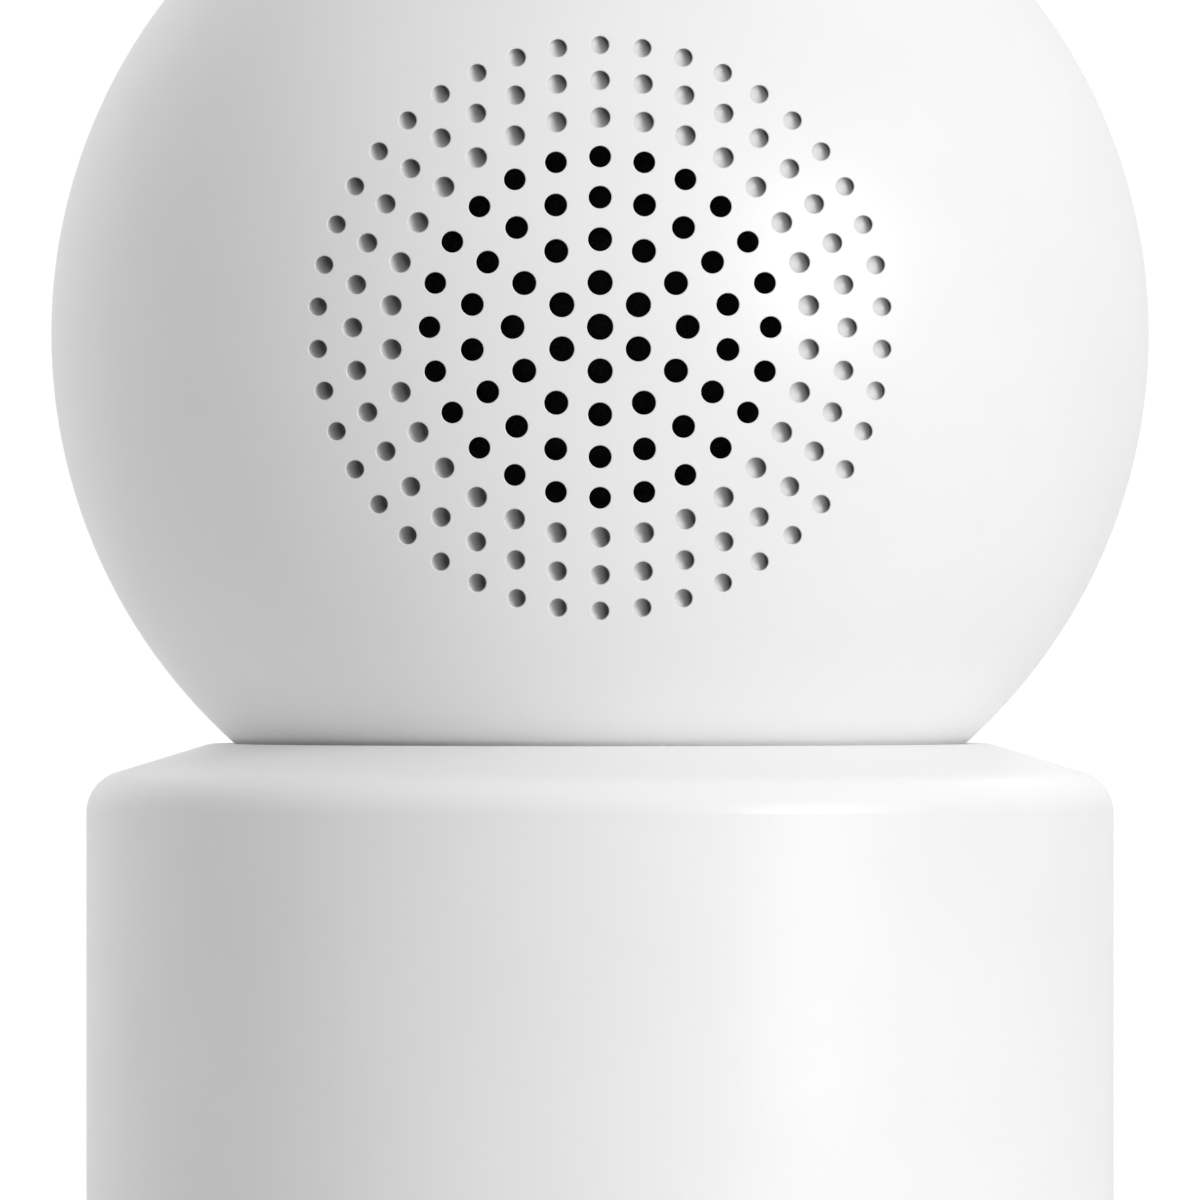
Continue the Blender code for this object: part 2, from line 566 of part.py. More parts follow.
def make_front_shell():
    """The half round the lens window, with the ledge that the window rests on."""
    outer, inner, ledge = BALL_RADIUS, BALL_RADIUS - BALL_WALL, 35.2
    seam = math.degrees(math.asin(SEAM_FRONT / outer))
    recess = 90.0 - WINDOW_RECESS_ANGLE
    outline = arc((0, 0), outer, recess, seam, 7) + arc((0, 0), inner, seam, 38.0, 4)
    outline += arc((0, 0), ledge, 41.0, 54.0, 1) + arc((0, 0), inner, 54.0, recess, 1)
    shell = turned("front_shell", outline, "white_plastic", parent=tilt_axis, axis="Y")
    for i, (x, z) in enumerate(SHELL_SCREWS):
        join(shell, cylinder(f"front_boss_{i}", 3.0, 23.4, (x, 14.8, z), None, tilt_axis, "Y", SCREW_ROUND))
        cut(shell, cylinder(f"front_bore_{i}", 1.15, 20.0, (x, 8.0, z), None, tilt_axis, "Y", SCREW_ROUND),
            cylinder(f"front_sink_{i}", 2.2, 30.0, (x, 25.0, z), None, tilt_axis, "Y", SCREW_ROUND))
        screw(f"shell_screw_{i + 1}", -12.0, 10.3, 11.6, (x, 0, z), tilt_axis, "Y")
    tip = math.radians(SERVICE_ELEVATION)
    card = plate("card_opening", [stadium(12.0, 1.6, 3)], 8.0, None, service_point(0, 38.0), tilt_axis)
    card.rotation_euler = (math.pi / 2 + tip, 0, 0)
    toward = service_point(BUTTON_SIDE, 1.0).to_track_quat("Z", "Y").to_euler()
    button = cylinder("button_opening", 1.5, 8.0, service_point(BUTTON_SIDE, 38.0), None, tilt_axis,
                      rotation=toward)
    return cut(shell, slot_cutter("front_slot"), card, button)


def make_lens():
    """The window, lens and boards on the ball's +Y side."""
    outer, inner = BALL_RADIUS, 37.3
    edge = 90.0 - WINDOW_ANGLE
    top = math.degrees(math.acos(LENS_HOLE_RADIUS / outer))
    outline = arc((0, 0), outer, top, edge, 5)
    outline += arc((0, 0), inner, edge, math.degrees(math.acos(LENS_HOLE_RADIUS / inner)), 3)
    window = turned("face_window", outline, "black_gloss", parent=tilt_axis, axis="Y")
    cut(window, cylinder("light_opening", 1.2, 8.0, (0, 35.0, -17.0), None, tilt_axis, "Y", SCREW_ROUND),
        cylinder("microphone_opening", 0.6, 8.0, (0, 35.0, 17.0), None, tilt_axis, "Y", 8))
    turned("lens_ring", [(7.2, 38.0), (8.9, 37.9), (9.3, 37.5), (9.3, 33.0), (6.6, 33.0), (6.6, 36.4)],
           "dark_plastic", parent=tilt_axis, axis="Y", segments=MEDIUM_ROUND)
    dome = []
    for turn in (0, 30, 60, 90):
        angle = math.radians(turn)
        dome.append((6.3 * math.sin(angle), 35.4 + 1.2 * math.cos(angle)))
    turned("lens_glass", dome + [(6.3, 34.6), (0, 34.6)], "lens_glass", parent=tilt_axis, axis="Y",
           segments=MEDIUM_ROUND, ring=False)
    turned("lens_barrel", [(6.2, 34.3), (6.2, 24.0), (8.5, 23.0), (8.5, 18.3), (3.0, 18.3), (3.0, 30.0),
                           (5.2, 33.0), (5.2, 34.3)], "dark_plastic", parent=tilt_axis, axis="Y",
           segments=MEDIUM_ROUND)
    box("sensor_board", (30.0, 1.2, 30.0), (0, 17.4, 0), "board_green", tilt_axis)
    board = plate("infrared_board", [circle(20.0, 20), circle(9.0, 12)], 1.2, "board_green", (0, 27.4, 0),
                  tilt_axis, "Y")
    for i in range(6):
        x, z = polar(14.5, 60.0 * i)
        join(board, cylinder(f"infrared_lamp_{i}", 1.6, 2.4, (x, 28.8, z), None, tilt_axis, "Y",
                             SCREW_ROUND))
    cylinder("status_light", 0.9, 5.6, (0, 32.3, -17.0), "natural_plastic", tilt_axis, "Y", SCREW_ROUND)
    cylinder("microphone", 2.0, 1.6, (0, 30.8, 17.0), "steel", tilt_axis, "Y", SCREW_ROUND)


def make_head_frame():
    """A ring plate clamped between the shells, with a lug for each pin and posts for the boards."""
    frame = plate("head_frame", [circle(29.2, 24), circle(15.0, 16)], 2.0, "grey_plastic", (0, 1.8, 0),
                  tilt_axis, "Y")
    cut(frame, box("motor_space", (16.8, 6.0, 21.4), (-15.9, 1.8, 6.5), None, tilt_axis),
        box("gear_space", (4.0, 6.0, 40.0), (-29.1, 1.8, 0), None, tilt_axis))
    left = [(-8, -6), (8, -6), (8, 12), (4, 18), (-4, 18), (-8, 12)]
    right = [(-6, -6), (6, -6), (6, 6), (-6, 6)]
    for word, outline, x in (("left", left, -25.55), ("right", right, 25.55)):
        join(frame, plate(f"lug_{word}", [outline], 2.5, None, (x, 0, 0), tilt_axis, "X"))
        cut(frame, cylinder(f"pin_hole_{word}", 2.3, 10.0, (x, 0, 0), None, tilt_axis, "X"))
    cut(frame, cylinder("pinion_opening", 3.3, 6.0, (-25.55, 0, TILT_AXIS_DISTANCE), None, tilt_axis, "X"))
    for i, (x, z) in enumerate(SHELL_SCREWS):
        cut(frame, cylinder(f"frame_hole_{i}", 1.2, 6.0, (x, 1.8, z), None, tilt_axis, "Y", SCREW_ROUND))
    for i, (x, z) in enumerate(BOARD_POSTS):
        join(frame, cylinder(f"board_post_{i}", 1.8, 13.4, (x, -5.3, z), None, tilt_axis, "Y", SCREW_ROUND))
    for i, (x, z) in enumerate(SENSOR_POSTS):
        join(frame, cylinder(f"sensor_post_{i}", 1.8, 14.4, (x, 9.2, z), None, tilt_axis, "Y", SCREW_ROUND))
    for side, word in ((-1, "left"), (1, "right")):
        outline = [(0, 36.1), (3.2, 36.1), (3.2, 34.8), (2.0, 34.8), (2.0, 24.4), (0, 24.4)]
        turned(f"tilt_pin_{word}", outline, "steel", parent=tilt_axis, segments=SMALL_ROUND, ring=False,
               rotation=(0.0, side * math.pi / 2, 0.0))


def make_tilt_drive():
    """The tilt motor on the left lug, and the pinion that walks round the yoke's gear."""
    motor = cylinder("tilt_motor", 10.0, 16.0, (-16.0, 0, 6.5), "steel", tilt_axis, "X", MEDIUM_ROUND)
    neck = cylinder("tilt_motor_neck", 3.0, 4.0, (-24.8, 0, TILT_AXIS_DISTANCE), None, tilt_axis, "X")
    join(motor, neck)
    cut(motor, cylinder("tilt_motor_socket", 1.3, 6.0, (-25.0, 0, TILT_AXIS_DISTANCE), None, tilt_axis,
                        "X", SCREW_ROUND))
    axle = pivot("tilt_pinion_axis", (0, 0, TILT_AXIS_DISTANCE), tilt_axis)
    tooth_at = 270.0 + 180.0 / TILT_PINION_TEETH
    pinion = plate("tilt_pinion", gear(TILT_PINION_TEETH, TILT_MODULE, tooth_at, 0), 2.2,
                   "natural_plastic", (-28.95, 0, 0), axle, "X")
    join(pinion, cylinder("tilt_shaft", 0.95, 6.6, (-26.0, 0, 0), None, axle, "X", SCREW_ROUND))


def make_boards():
    """The main board with its heat sink, the aerial, and the card socket and reset switch."""
    board = box("main_board", (38.0, 1.6, 31.5), (0, -13.2, 0.75), "board_green", tilt_axis)
    for i, (x, z, width, height) in enumerate(((-9, 6, 9, 9), (-10, -7, 6, 8), (0, 8, 5, 5))):
        join(board, box(f"board_chip_{i}", (width, 1.8, height), (x, -11.9, z), None, tilt_axis))
    fins, pitch, fin, foot, height = 5, 3.0, 1.0, 1.0, 4.2
    outline = [((fins - 1) * pitch + fin, 0.0), (0.0, 0.0)]
    for i in range(fins):
        x = i * pitch
        outline += [(x, foot), (x, height), (x + fin, height), (x + fin, foot)]
    outline.remove((0.0, foot))
    outline.remove(((fins - 1) * pitch + fin, foot))
    plate("heat_sink", [outline], 20.0, "aluminium", (3.0, -12.1, 0.0), tilt_axis)
    box("wifi_antenna", (20.0, 11.0, 0.5), (0, 0, 33.2), "board_green", tilt_axis)
    tip = math.radians(SERVICE_ELEVATION)
    socket = box("card_socket", (13.0, 12.6, 2.2), service_point(0, 29.9), "steel", tilt_axis, (tip, 0, 0))
    pocket = box("card_pocket", (11.4, 12.0, 1.1), service_point(0, 31.4), None, tilt_axis, (tip, 0, 0))
    cut(socket, pocket)
    toward = service_point(BUTTON_SIDE, 1.0).to_track_quat("Z", "Y").to_euler()
    switch = box("reset_switch", (3.2, 3.2, 1.6), service_point(BUTTON_SIDE, 34.2), "dark_plastic",
                 tilt_axis, toward)
    join(switch, cylinder("switch_plunger", 0.7, 1.4, service_point(BUTTON_SIDE, 34.8), None, tilt_axis,
                          segments=SCREW_ROUND, rotation=toward))
    outline = [(0, 39.0), (0.9, 39.0), (1.2, 38.7), (1.2, 36.7), (2.0, 36.7), (2.0, 36.1), (0, 36.1)]
    turned("reset_button", outline, "grey_plastic", parent=tilt_axis, segments=SMALL_ROUND, ring=False,
           rotation=toward)


def make_speaker():
    """The loudspeaker behind the grille: frame, magnet, cone, gasket and acoustic cloth."""
    frame = [(9.6, -24.4), (9.6, -27.6), (12.4, -30.6), (14.0, -30.6), (14.0, -33.0), (12.0, -33.0),
             (12.0, -31.6), (8.9, -28.2), (8.9, -24.4)]
    turned("speaker_frame", frame, "dark_plastic", parent=tilt_axis, axis="Y", segments=MEDIUM_ROUND)
    magnet = [(0, -21.6), (8.6, -21.6), (8.6, -27.4), (4.9, -27.4), (4.9, -23.6), (3.4, -23.6),
              (3.4, -27.4), (0, -27.4)]
    turned("speaker_magnet", magnet, "steel", parent=tilt_axis, axis="Y", segments=MEDIUM_ROUND, ring=False)
    cone = [(0, -30.4), (2.4, -30.0), (3.9, -28.9), (3.9, -26.0), (4.4, -26.0), (4.4, -29.0), (9.2, -31.4),
            (10.4, -31.1), (11.6, -31.9), (11.6, -32.3), (10.4, -31.6), (9.2, -31.9), (4.2, -29.9),
            (2.4, -30.5), (0, -30.9)]
    turned("speaker_cone", cone, "cone_paper", parent=tilt_axis, axis="Y", segments=MEDIUM_ROUND, ring=False)
    turned("speaker_gasket", [(13.9, -33.3), (13.9, -33.9), (12.4, -34.3), (12.4, -33.3)], "rubber",
           parent=tilt_axis, axis="Y", segments=MEDIUM_ROUND)
    outer, inner, out = 36.65, 36.4, 12.2
    edge = math.degrees(math.acos(out / outer))
    cloth = arc((0, 0), inner, -90.0, -edge, 3) + arc((0, 0), outer, -edge, -90.0, 3)
    turned("grille_cloth", cloth, "mesh_cloth", parent=tilt_axis, axis="Y", segments=MEDIUM_ROUND,
           ring=False)


make_base_shell()
make_bottom()
make_inlet()
make_chassis()
make_pan_motor()
make_pan_pinion()
make_turntable()
make_yoke()
make_tilt_gear()
make_yoke_cable()
make_rear_shell()
make_front_shell()
make_lens()
make_head_frame()
make_tilt_drive()
make_boards()
make_speaker()
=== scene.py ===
"""Looks of the smart speaker with a pan-and-tilt camera ball head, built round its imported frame.

Lengths written in this script are millimetres, and the helpers turn them into metres. Places and
main sizes come from the frame: the ball's centre from the tilt joint, and the rest from the boxes
of the CAD nodes.
"""
import json
import math

import bmesh
import bpy
from mathutils import Matrix, Vector
from mathutils.geometry import delaunay_2d_cdt


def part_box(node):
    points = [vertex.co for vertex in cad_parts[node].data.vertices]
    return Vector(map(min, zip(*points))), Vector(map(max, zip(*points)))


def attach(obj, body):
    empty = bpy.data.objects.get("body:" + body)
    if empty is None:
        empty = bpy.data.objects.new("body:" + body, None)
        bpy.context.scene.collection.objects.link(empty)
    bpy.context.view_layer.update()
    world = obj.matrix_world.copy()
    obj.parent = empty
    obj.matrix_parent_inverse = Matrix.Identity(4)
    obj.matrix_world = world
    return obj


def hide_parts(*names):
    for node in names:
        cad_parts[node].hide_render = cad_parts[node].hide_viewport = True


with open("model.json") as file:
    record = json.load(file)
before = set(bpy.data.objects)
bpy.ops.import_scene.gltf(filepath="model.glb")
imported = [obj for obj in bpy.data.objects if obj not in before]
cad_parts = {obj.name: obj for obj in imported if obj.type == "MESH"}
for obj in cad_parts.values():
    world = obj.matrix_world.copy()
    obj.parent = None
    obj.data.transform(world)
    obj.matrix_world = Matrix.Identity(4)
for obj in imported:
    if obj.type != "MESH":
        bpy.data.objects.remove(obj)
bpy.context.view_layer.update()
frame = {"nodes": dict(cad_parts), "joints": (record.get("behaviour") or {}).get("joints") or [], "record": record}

scene = bpy.context.scene
MM = 0.001
joints = {joint["name"]: joint for joint in frame["joints"]}


def extent(node, axis, end):
    """The lowest (0) or highest (1) coordinate of a CAD node along an axis, in millimetres."""
    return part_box(node)[end][axis] / MM


# ---------------------------------------------------------------- sizes from the frame
CENTRE = Vector(joints["tilt"]["pos_m"])            # of the ball, in metres
BALL_HEIGHT = CENTRE.z / MM
BALL_RADIUS = extent("rear_shell", 2, 1) - BALL_HEIGHT
BASE_RADIUS = extent("base_shell", 0, 1)
RIM_HEIGHT = extent("base_shell", 2, 1)
SHELL_BOTTOM = extent("base_shell", 2, 0)
WALL = 2.0
INNER_RADIUS = BALL_RADIUS - WALL
LIP_RADIUS = BALL_RADIUS + 0.35                     # the collar's lip follows the ball at this radius
SEAM = 3.0                                          # the ball's halves meet here, ahead of its centre
SEAM_HALF_GAP = 0.07
SEAM_ROUNDING = 0.2
GRILLE_RINGS = 7
THROUGH_RINGS = 4                                   # holes up to this ring go through, the rest are blind
WINDOW_ANGLE = 44.0                                 # edge of the lens window, in degrees off the lens axis
SERVICE_ELEVATION = -57.0                           # card slot and reset button, on the front shell
INLET_HEIGHT = (extent("usb_socket", 2, 0) + extent("usb_socket", 2, 1)) / 2
ROUND = 192
TILT_LIMITS = joints["tilt"]["range_deg"]

# ---------------------------------------------------------------- sizes of the detail, in millimetres
LAND_RADIUS = 27.7                                  # where the collar's flat land meets its cone
CONE_ANGLE = 17.0                                   # degrees below level
LIP_RADII = (24.6, 25.2, 25.8)                      # the lip's underside follows the ball here
SCREW_CIRCLE = 31.2                                 # the base's three screw columns stand on it
BASE_SCREWS = 3
COLUMN_BORE = 1.15                                  # inner radius of a screw column
SHELL_SCREWS = ((12.5, 20.5), (-12.5, 20.5), (12.0, -20.5), (-12.0, -20.5))
PIT_LIP = 0.11                                      # rounding at the mouth of a grille hole
BUTTON_SIDE = 11.0                                  # the reset button's distance from the middle
MARK_OFFSET = 17.0                                  # microphone above the lens, status light below
NEAR = 0.00002                                      # metres off a surface that still count as on it

# ---------------------------------------------------------------- colours
WHITE_COLOUR = (0.85, 0.85, 0.855)
# painted light: the ball's white is the base's white plastic painted a little lighter, standing in for more light
# on the ball than on the base
BALL_PAINTED_LIGHT_COLOUR = (0.89, 0.89, 0.895)
# painted light: the lighter white painted on the collar's upward faces
COLLAR_PAINTED_LIGHT_COLOUR = (0.945, 0.945, 0.945)
# painted shade: the near-black painted deep in the grille's pits and on their walls that face away from the lamps
PIT_PAINTED_SHADE = (0.03, 0.03, 0.03)
# painted light: the light grey painted on the pits' walls that face the lamps
PIT_PAINTED_LIGHT = (0.82, 0.82, 0.82)
SATIN = 0.40                                        # roughness of the white plastic
SATIN_LEVEL = 0.45                                  # its specular level


# ---------------------------------------------------------------- camera, light and stage
def make_camera():
    """A level camera far off on the grille's side with a long lens."""
    distance, height, width = 1.45, 57.1, 85.3      # metres, then millimetres for what it sees
    data = bpy.data.cameras.new("camera")
    data.sensor_width = 36.0
    data.lens = data.sensor_width * distance / (width * MM)
    data.clip_end = 50.0
    camera = bpy.data.objects.new("camera", data)
    scene.collection.objects.link(camera)
    camera.location = (0.0, -distance, height * MM)
    camera.rotation_euler = (math.pi / 2, 0.0, 0.0)
    scene.camera = camera


def make_world():
    """White behind the object, and a studio that is lighter behind and above than in front."""
    world = bpy.data.worlds.new("studio")
    world.use_nodes = True
    scene.world = world
    tree = world.node_tree
    tree.nodes.clear()
    add = tree.nodes.new
    where = add("ShaderNodeTexCoord")
    split = add("ShaderNodeSeparateXYZ")
    tree.links.new(where.outputs["Generated"], split.inputs[0])

    def ramp(axis, low, high, start, end):
        node = add("ShaderNodeMapRange")
        node.interpolation_type = "SMOOTHSTEP"
        for socket, value in zip(("From Min", "From Max", "To Min", "To Max"), (low, high, start, end)):
            node.inputs[socket].default_value = value
        tree.links.new(split.outputs[axis], node.inputs["Value"])
        return node.outputs[0]

    def total(first, second):
        node = add("ShaderNodeMath")
        node.operation = "ADD"
        tree.links.new(first, node.inputs[0])
        tree.links.new(second, node.inputs[1])
        return node.outputs[0]

    level = total(total(ramp("Y", 0.1, 0.95, 0.455, 0.95), ramp("X", -0.2, 1.0, 0.0, -0.26)),
                  ramp("Z", 0.2, 1.0, 0.0, 0.32))
    surroundings = add("ShaderNodeBackground")
    surroundings.inputs["Color"].default_value = (1.0, 1.0, 1.0, 1.0)
    tree.links.new(level, surroundings.inputs["Strength"])
    backdrop = add("ShaderNodeBackground")
    backdrop.inputs["Color"].default_value = (1.0, 1.0, 1.0, 1.0)
    tree.links.new(ramp("Y", 0.75, 0.99, 0.88, 1.04), backdrop.inputs["Strength"])
    path = add("ShaderNodeLightPath")
    choose = add("ShaderNodeMixShader")
    tree.links.new(path.outputs["Is Camera Ray"], choose.inputs[0])
    tree.links.new(surroundings.outputs[0], choose.inputs[1])
    tree.links.new(backdrop.outputs[0], choose.inputs[2])
    out = add("ShaderNodeOutputWorld")
    tree.links.new(choose.outputs[0], out.inputs[0])


def soft_light(name, place, size, watts, mirrored=True):
    """A square soft light aimed at the ball, which glossy surfaces mirror or don't."""
    data = bpy.data.lights.new(name, "AREA")
    data.size = size
    data.energy = watts
    light = bpy.data.objects.new(name, data)
    scene.collection.objects.link(light)
    light.location = place
    light.rotation_euler = (CENTRE - light.location).to_track_quat("-Z", "Y").to_euler()
    light.visible_camera = False
    light.visible_glossy = mirrored


def make_floor():
    """A pale table top that fades into the white surroundings, and glows a little for the camera."""
    form = bmesh.new()
    bmesh.ops.create_circle(form, cap_ends=True, segments=96, radius=0.46)
    mesh = bpy.data.meshes.new("floor")
    form.to_mesh(mesh)
    form.free()
    floor = bpy.data.objects.new("floor", mesh)
    scene.collection.objects.link(floor)
    material = bpy.data.materials.new("floor")
    material.use_nodes = True
    tree = material.node_tree
    shader = tree.nodes["Principled BSDF"]
    shader.inputs["Base Color"].default_value = (0.74, 0.74, 0.74, 1.0)
    shader.inputs["Roughness"].default_value = 0.6
    shader.inputs["Specular IOR Level"].default_value = 0.2
    path = tree.nodes.new("ShaderNodeLightPath")
    glow = tree.nodes.new("ShaderNodeMath")
    glow.operation = "MULTIPLY"
    glow.inputs[1].default_value = 0.30
    tree.links.new(path.outputs["Is Camera Ray"], glow.inputs[0])
    shader.inputs["Emission Color"].default_value = (1.0, 1.0, 1.0, 1.0)
    tree.links.new(glow.outputs[0], shader.inputs["Emission Strength"])
    where = tree.nodes.new("ShaderNodeTexCoord")
    length = tree.nodes.new("ShaderNodeVectorMath")
    length.operation = "LENGTH"
    fade = tree.nodes.new("ShaderNodeMapRange")
    fade.interpolation_type = "SMOOTHSTEP"
    for socket, value in zip(("From Min", "From Max", "To Min", "To Max"), (0.10, 0.45, 1.0, 0.0)):
        fade.inputs[socket].default_value = value
    tree.links.new(where.outputs["Object"], length.inputs[0])
    tree.links.new(length.outputs["Value"], fade.inputs["Value"])
    tree.links.new(fade.outputs[0], shader.inputs["Alpha"])
    mesh.materials.append(material)


make_camera()
make_world()
soft_light("key", (1.08, -1.01, 0.42), 0.55, 14.0)
soft_light("rim", (-0.85, 1.05, 0.30), 0.6, 3.2, False)
soft_light("overhead", (0.55, 0.85, 1.20), 0.35, 2.0)
make_floor()
scene.view_settings.view_transform = "Standard"


# ---------------------------------------------------------------- materials
class Nodes:
    """Builds one Principled material, with its textures in the piece's own space."""

    def __init__(self, name, colour, roughness, **sockets):
        self.material = bpy.data.materials.new(name)
        self.material.use_nodes = True
        self.tree = self.material.node_tree
        self.shader = self.tree.nodes["Principled BSDF"]
        self.shader.inputs["Base Color"].default_value = (*colour, 1.0)
        self.shader.inputs["Roughness"].default_value = roughness
        for socket, value in sockets.items():
            self.shader.inputs[socket.replace("_", " ")].default_value = value
        self.colour = colour
        self.space = self.tree.nodes.new("ShaderNodeTexCoord").outputs["Object"]

    def link(self, output, socket):
        self.tree.links.new(output, socket)

    def noise(self, size, detail=2.0, rough=0.5, stretch=None):
        """Noise whose features are about the given size in millimetres."""
        node = self.tree.nodes.new("ShaderNodeTexNoise")
        node.inputs["Scale"].default_value = 1.0 / (size * MM)
        node.inputs["Detail"].default_value = detail
        node.inputs["Roughness"].default_value = rough
        space = self.space
        if stretch:
            squeeze = self.tree.nodes.new("ShaderNodeMapping")
            squeeze.inputs["Scale"].default_value = stretch
            self.link(space, squeeze.inputs["Vector"])
            space = squeeze.outputs[0]
        self.link(space, node.inputs["Vector"])
        return node.outputs["Fac"]

    def cells(self, size, feature="F1"):
        """Cells of about the given size in millimetres."""
        node = self.tree.nodes.new("ShaderNodeTexVoronoi")
        node.feature = feature
        node.inputs["Scale"].default_value = 1.0 / (size * MM)
        self.link(self.space, node.inputs["Vector"])
        return node.outputs["Distance"]

    def remap(self, value, low, high, start, end):
        """Maps low to high onto start to end, and holds the ends."""
        node = self.tree.nodes.new("ShaderNodeMapRange")
        for socket, amount in zip(("From Min", "From Max", "To Min", "To Max"), (low, high, start, end)):
            node.inputs[socket].default_value = amount
        self.link(value, node.inputs["Value"])
        return node.outputs[0]

    def math(self, operation, first, second):
        node = self.tree.nodes.new("ShaderNodeMath")
        node.operation = operation
        for socket, value in zip(node.inputs, (first, second)):
            if isinstance(value, (int, float)):
                socket.default_value = value
            else:
                self.link(value, socket)
        return node.outputs[0]

    def mix(self, factor, first, second):
        """Blends two colours by a factor."""
        node = self.tree.nodes.new("ShaderNodeMix")
        node.data_type = "RGBA"
        self.link(factor, node.inputs["Factor"])
        for socket, value in ((node.inputs[6], first), (node.inputs[7], second)):
            if isinstance(value, tuple):
                socket.default_value = (*value, 1.0)
            else:
                self.link(value, socket)
        return node.outputs[2]

    def tint(self, value, low, high, darker, lighter):
        """Colour that varies round the base colour as a texture runs from low to high."""
        factor = self.remap(value, low, high, 0.0, 1.0)
        dark = tuple(c * darker for c in self.colour)
        light = tuple(min(1.0, c * lighter) for c in self.colour)
        return self.mix(factor, dark, light)

    def paint(self, colour):
        """Sets the base colour from a node."""
        self.link(colour, self.shader.inputs["Base Color"])
        return self

    def gloss(self, value, low, high, start, end):
        """Roughness that runs from start to end as a texture runs from low to high."""
        self.link(self.remap(value, low, high, start, end), self.shader.inputs["Roughness"])
        return self

    def bump(self, height, depth):
        """Bump of the given depth, in millimetres."""
        node = self.tree.nodes.new("ShaderNodeBump")
        node.inputs["Strength"].default_value = 1.0
        node.inputs["Distance"].default_value = depth * MM
        self.link(height, node.inputs["Height"])
        self.link(node.outputs[0], self.shader.inputs["Normal"])
        return self


def flow_marks(made):
    """The plastic's colour with its faint flow variation."""
    return made.tint(made.noise(14.0, 3.0, 0.55), 0.3, 0.7, 0.985, 1.01)


def moulded_finish(made, roughness, depth=0.004):
    """Spark-eroded grain, and patches that are rubbed smoother."""
    fine = made.math("MULTIPLY", made.noise(0.5, 2.0), 0.4)
    rubbed = made.math("ADD", made.noise(6.0, 4.0, 0.6), fine)
    made.gloss(rubbed, 0.45, 0.95, roughness - 0.05, roughness + 0.05)
    return made.bump(made.noise(0.16, 2.0, 0.6), depth).material


def moulded(name, colour, roughness, depth=0.004, **sockets):
    """Moulded plastic in one colour."""
    made = Nodes(name, colour, roughness, **sockets)
    made.paint(flow_marks(made))
    return moulded_finish(made, roughness, depth)


def collar_painted_light_plastic(name, colour, roughness):
    """The base's white plastic, with painted light: the collar that faces up is painted a little lighter, standing
    in for the light that falls on it from above.
    """
    made = Nodes(name, colour, roughness, Specular_IOR_Level=SATIN_LEVEL)
    split = made.tree.nodes.new("ShaderNodeSeparateXYZ")
    made.link(made.space, split.inputs[0])
    # painted light: from 42.5 mm to 44.8 mm up the colour blends into the lighter collar white, which covers
    # everything above
    collar = made.remap(split.outputs["Z"], 0.0425, 0.0448, 0.0, 1.0)
    made.paint(made.mix(collar, flow_marks(made), COLLAR_PAINTED_LIGHT_COLOUR))
    return moulded_finish(made, roughness)


def grille_plastic_painted_shade(name, colour, roughness):
    """The white plastic of the grille's half, with painted shade: it is painted darker down in the pits, most of
    all on the walls towards the ball's upper +X side, which face away from the lamps, and near-black deeper than
    0.9 mm, inside the through holes."""
    made = Nodes(name, colour, roughness, Specular_IOR_Level=SATIN_LEVEL)
    away = made.tree.nodes.new("ShaderNodeVectorMath")
    away.operation = "DISTANCE"
    made.link(made.space, away.inputs[0])
    away.inputs[1].default_value = CENTRE

    def sunk(start, end):
        """How far into a pit a point is, from one depth in millimetres to another."""
        return made.remap(away.outputs["Value"], (BALL_RADIUS - start) * MM, (BALL_RADIUS - end) * MM,
                          0.0, 1.0)

    # painted shade: the pit colour takes over from 0.08 to 0.30 mm below the ball's surface
    depth = sunk(0.08, 0.30)
    # painted shade: walls whose normals point towards -X and down, away from the lamps, are painted darker
    facing = made.tree.nodes.new("ShaderNodeVectorMath")
    facing.operation = "DOT_PRODUCT"
    made.link(made.space.node.outputs["Normal"], facing.inputs[0])
    facing.inputs[1].default_value = (-0.93, 0.0, -0.36)
    side = made.remap(facing.outputs["Value"], -0.8, 0.75, 0.0, 1.0)
    # painted shade: from 0.9 to 1.3 mm down, in the through holes, the walls turn near-black
    pit = made.mix(sunk(0.9, 1.3), made.mix(side, PIT_PAINTED_LIGHT, PIT_PAINTED_SHADE), PIT_PAINTED_SHADE)
    made.paint(made.mix(depth, flow_marks(made), pit))
    return moulded_finish(made, roughness)


def brushed(name, colour, roughness):
    """Metal with fine drawn lines and dull patches."""
    made = Nodes(name, colour, roughness, Metallic=1.0)
    lines = made.noise(0.08, 3.0, 0.6, (1.0, 1.0, 0.04))
    made.paint(made.tint(made.noise(2.5, 4.0, 0.6), 0.3, 0.7, 0.86, 1.06))
    made.gloss(made.math("ADD", lines, made.noise(1.5, 2.0)), 0.6, 1.4, roughness - 0.08, roughness + 0.14)
    return made.bump(lines, 0.003).material


def circuit_board(name):
    """Green solder mask over copper tracks, with tinned pads."""
    made = Nodes(name, (0.012, 0.09, 0.045), 0.32)
    tracks = made.remap(made.cells(1.9, "DISTANCE_TO_EDGE"), 0.05, 0.09, 1.0, 0.0)
    pads = made.remap(made.cells(2.6), 0.12, 0.15, 1.0, 0.0)
    copper = made.mix(tracks, (0.012, 0.09, 0.045), (0.03, 0.19, 0.09))
    made.paint(made.mix(pads, copper, (0.62, 0.62, 0.58)))
    made.link(made.math("MULTIPLY", pads, 0.9), made.shader.inputs["Metallic"])
    made.gloss(made.noise(3.0), 0.3, 0.7, 0.24, 0.42)
    return made.bump(made.math("ADD", tracks, pads), 0.03).material


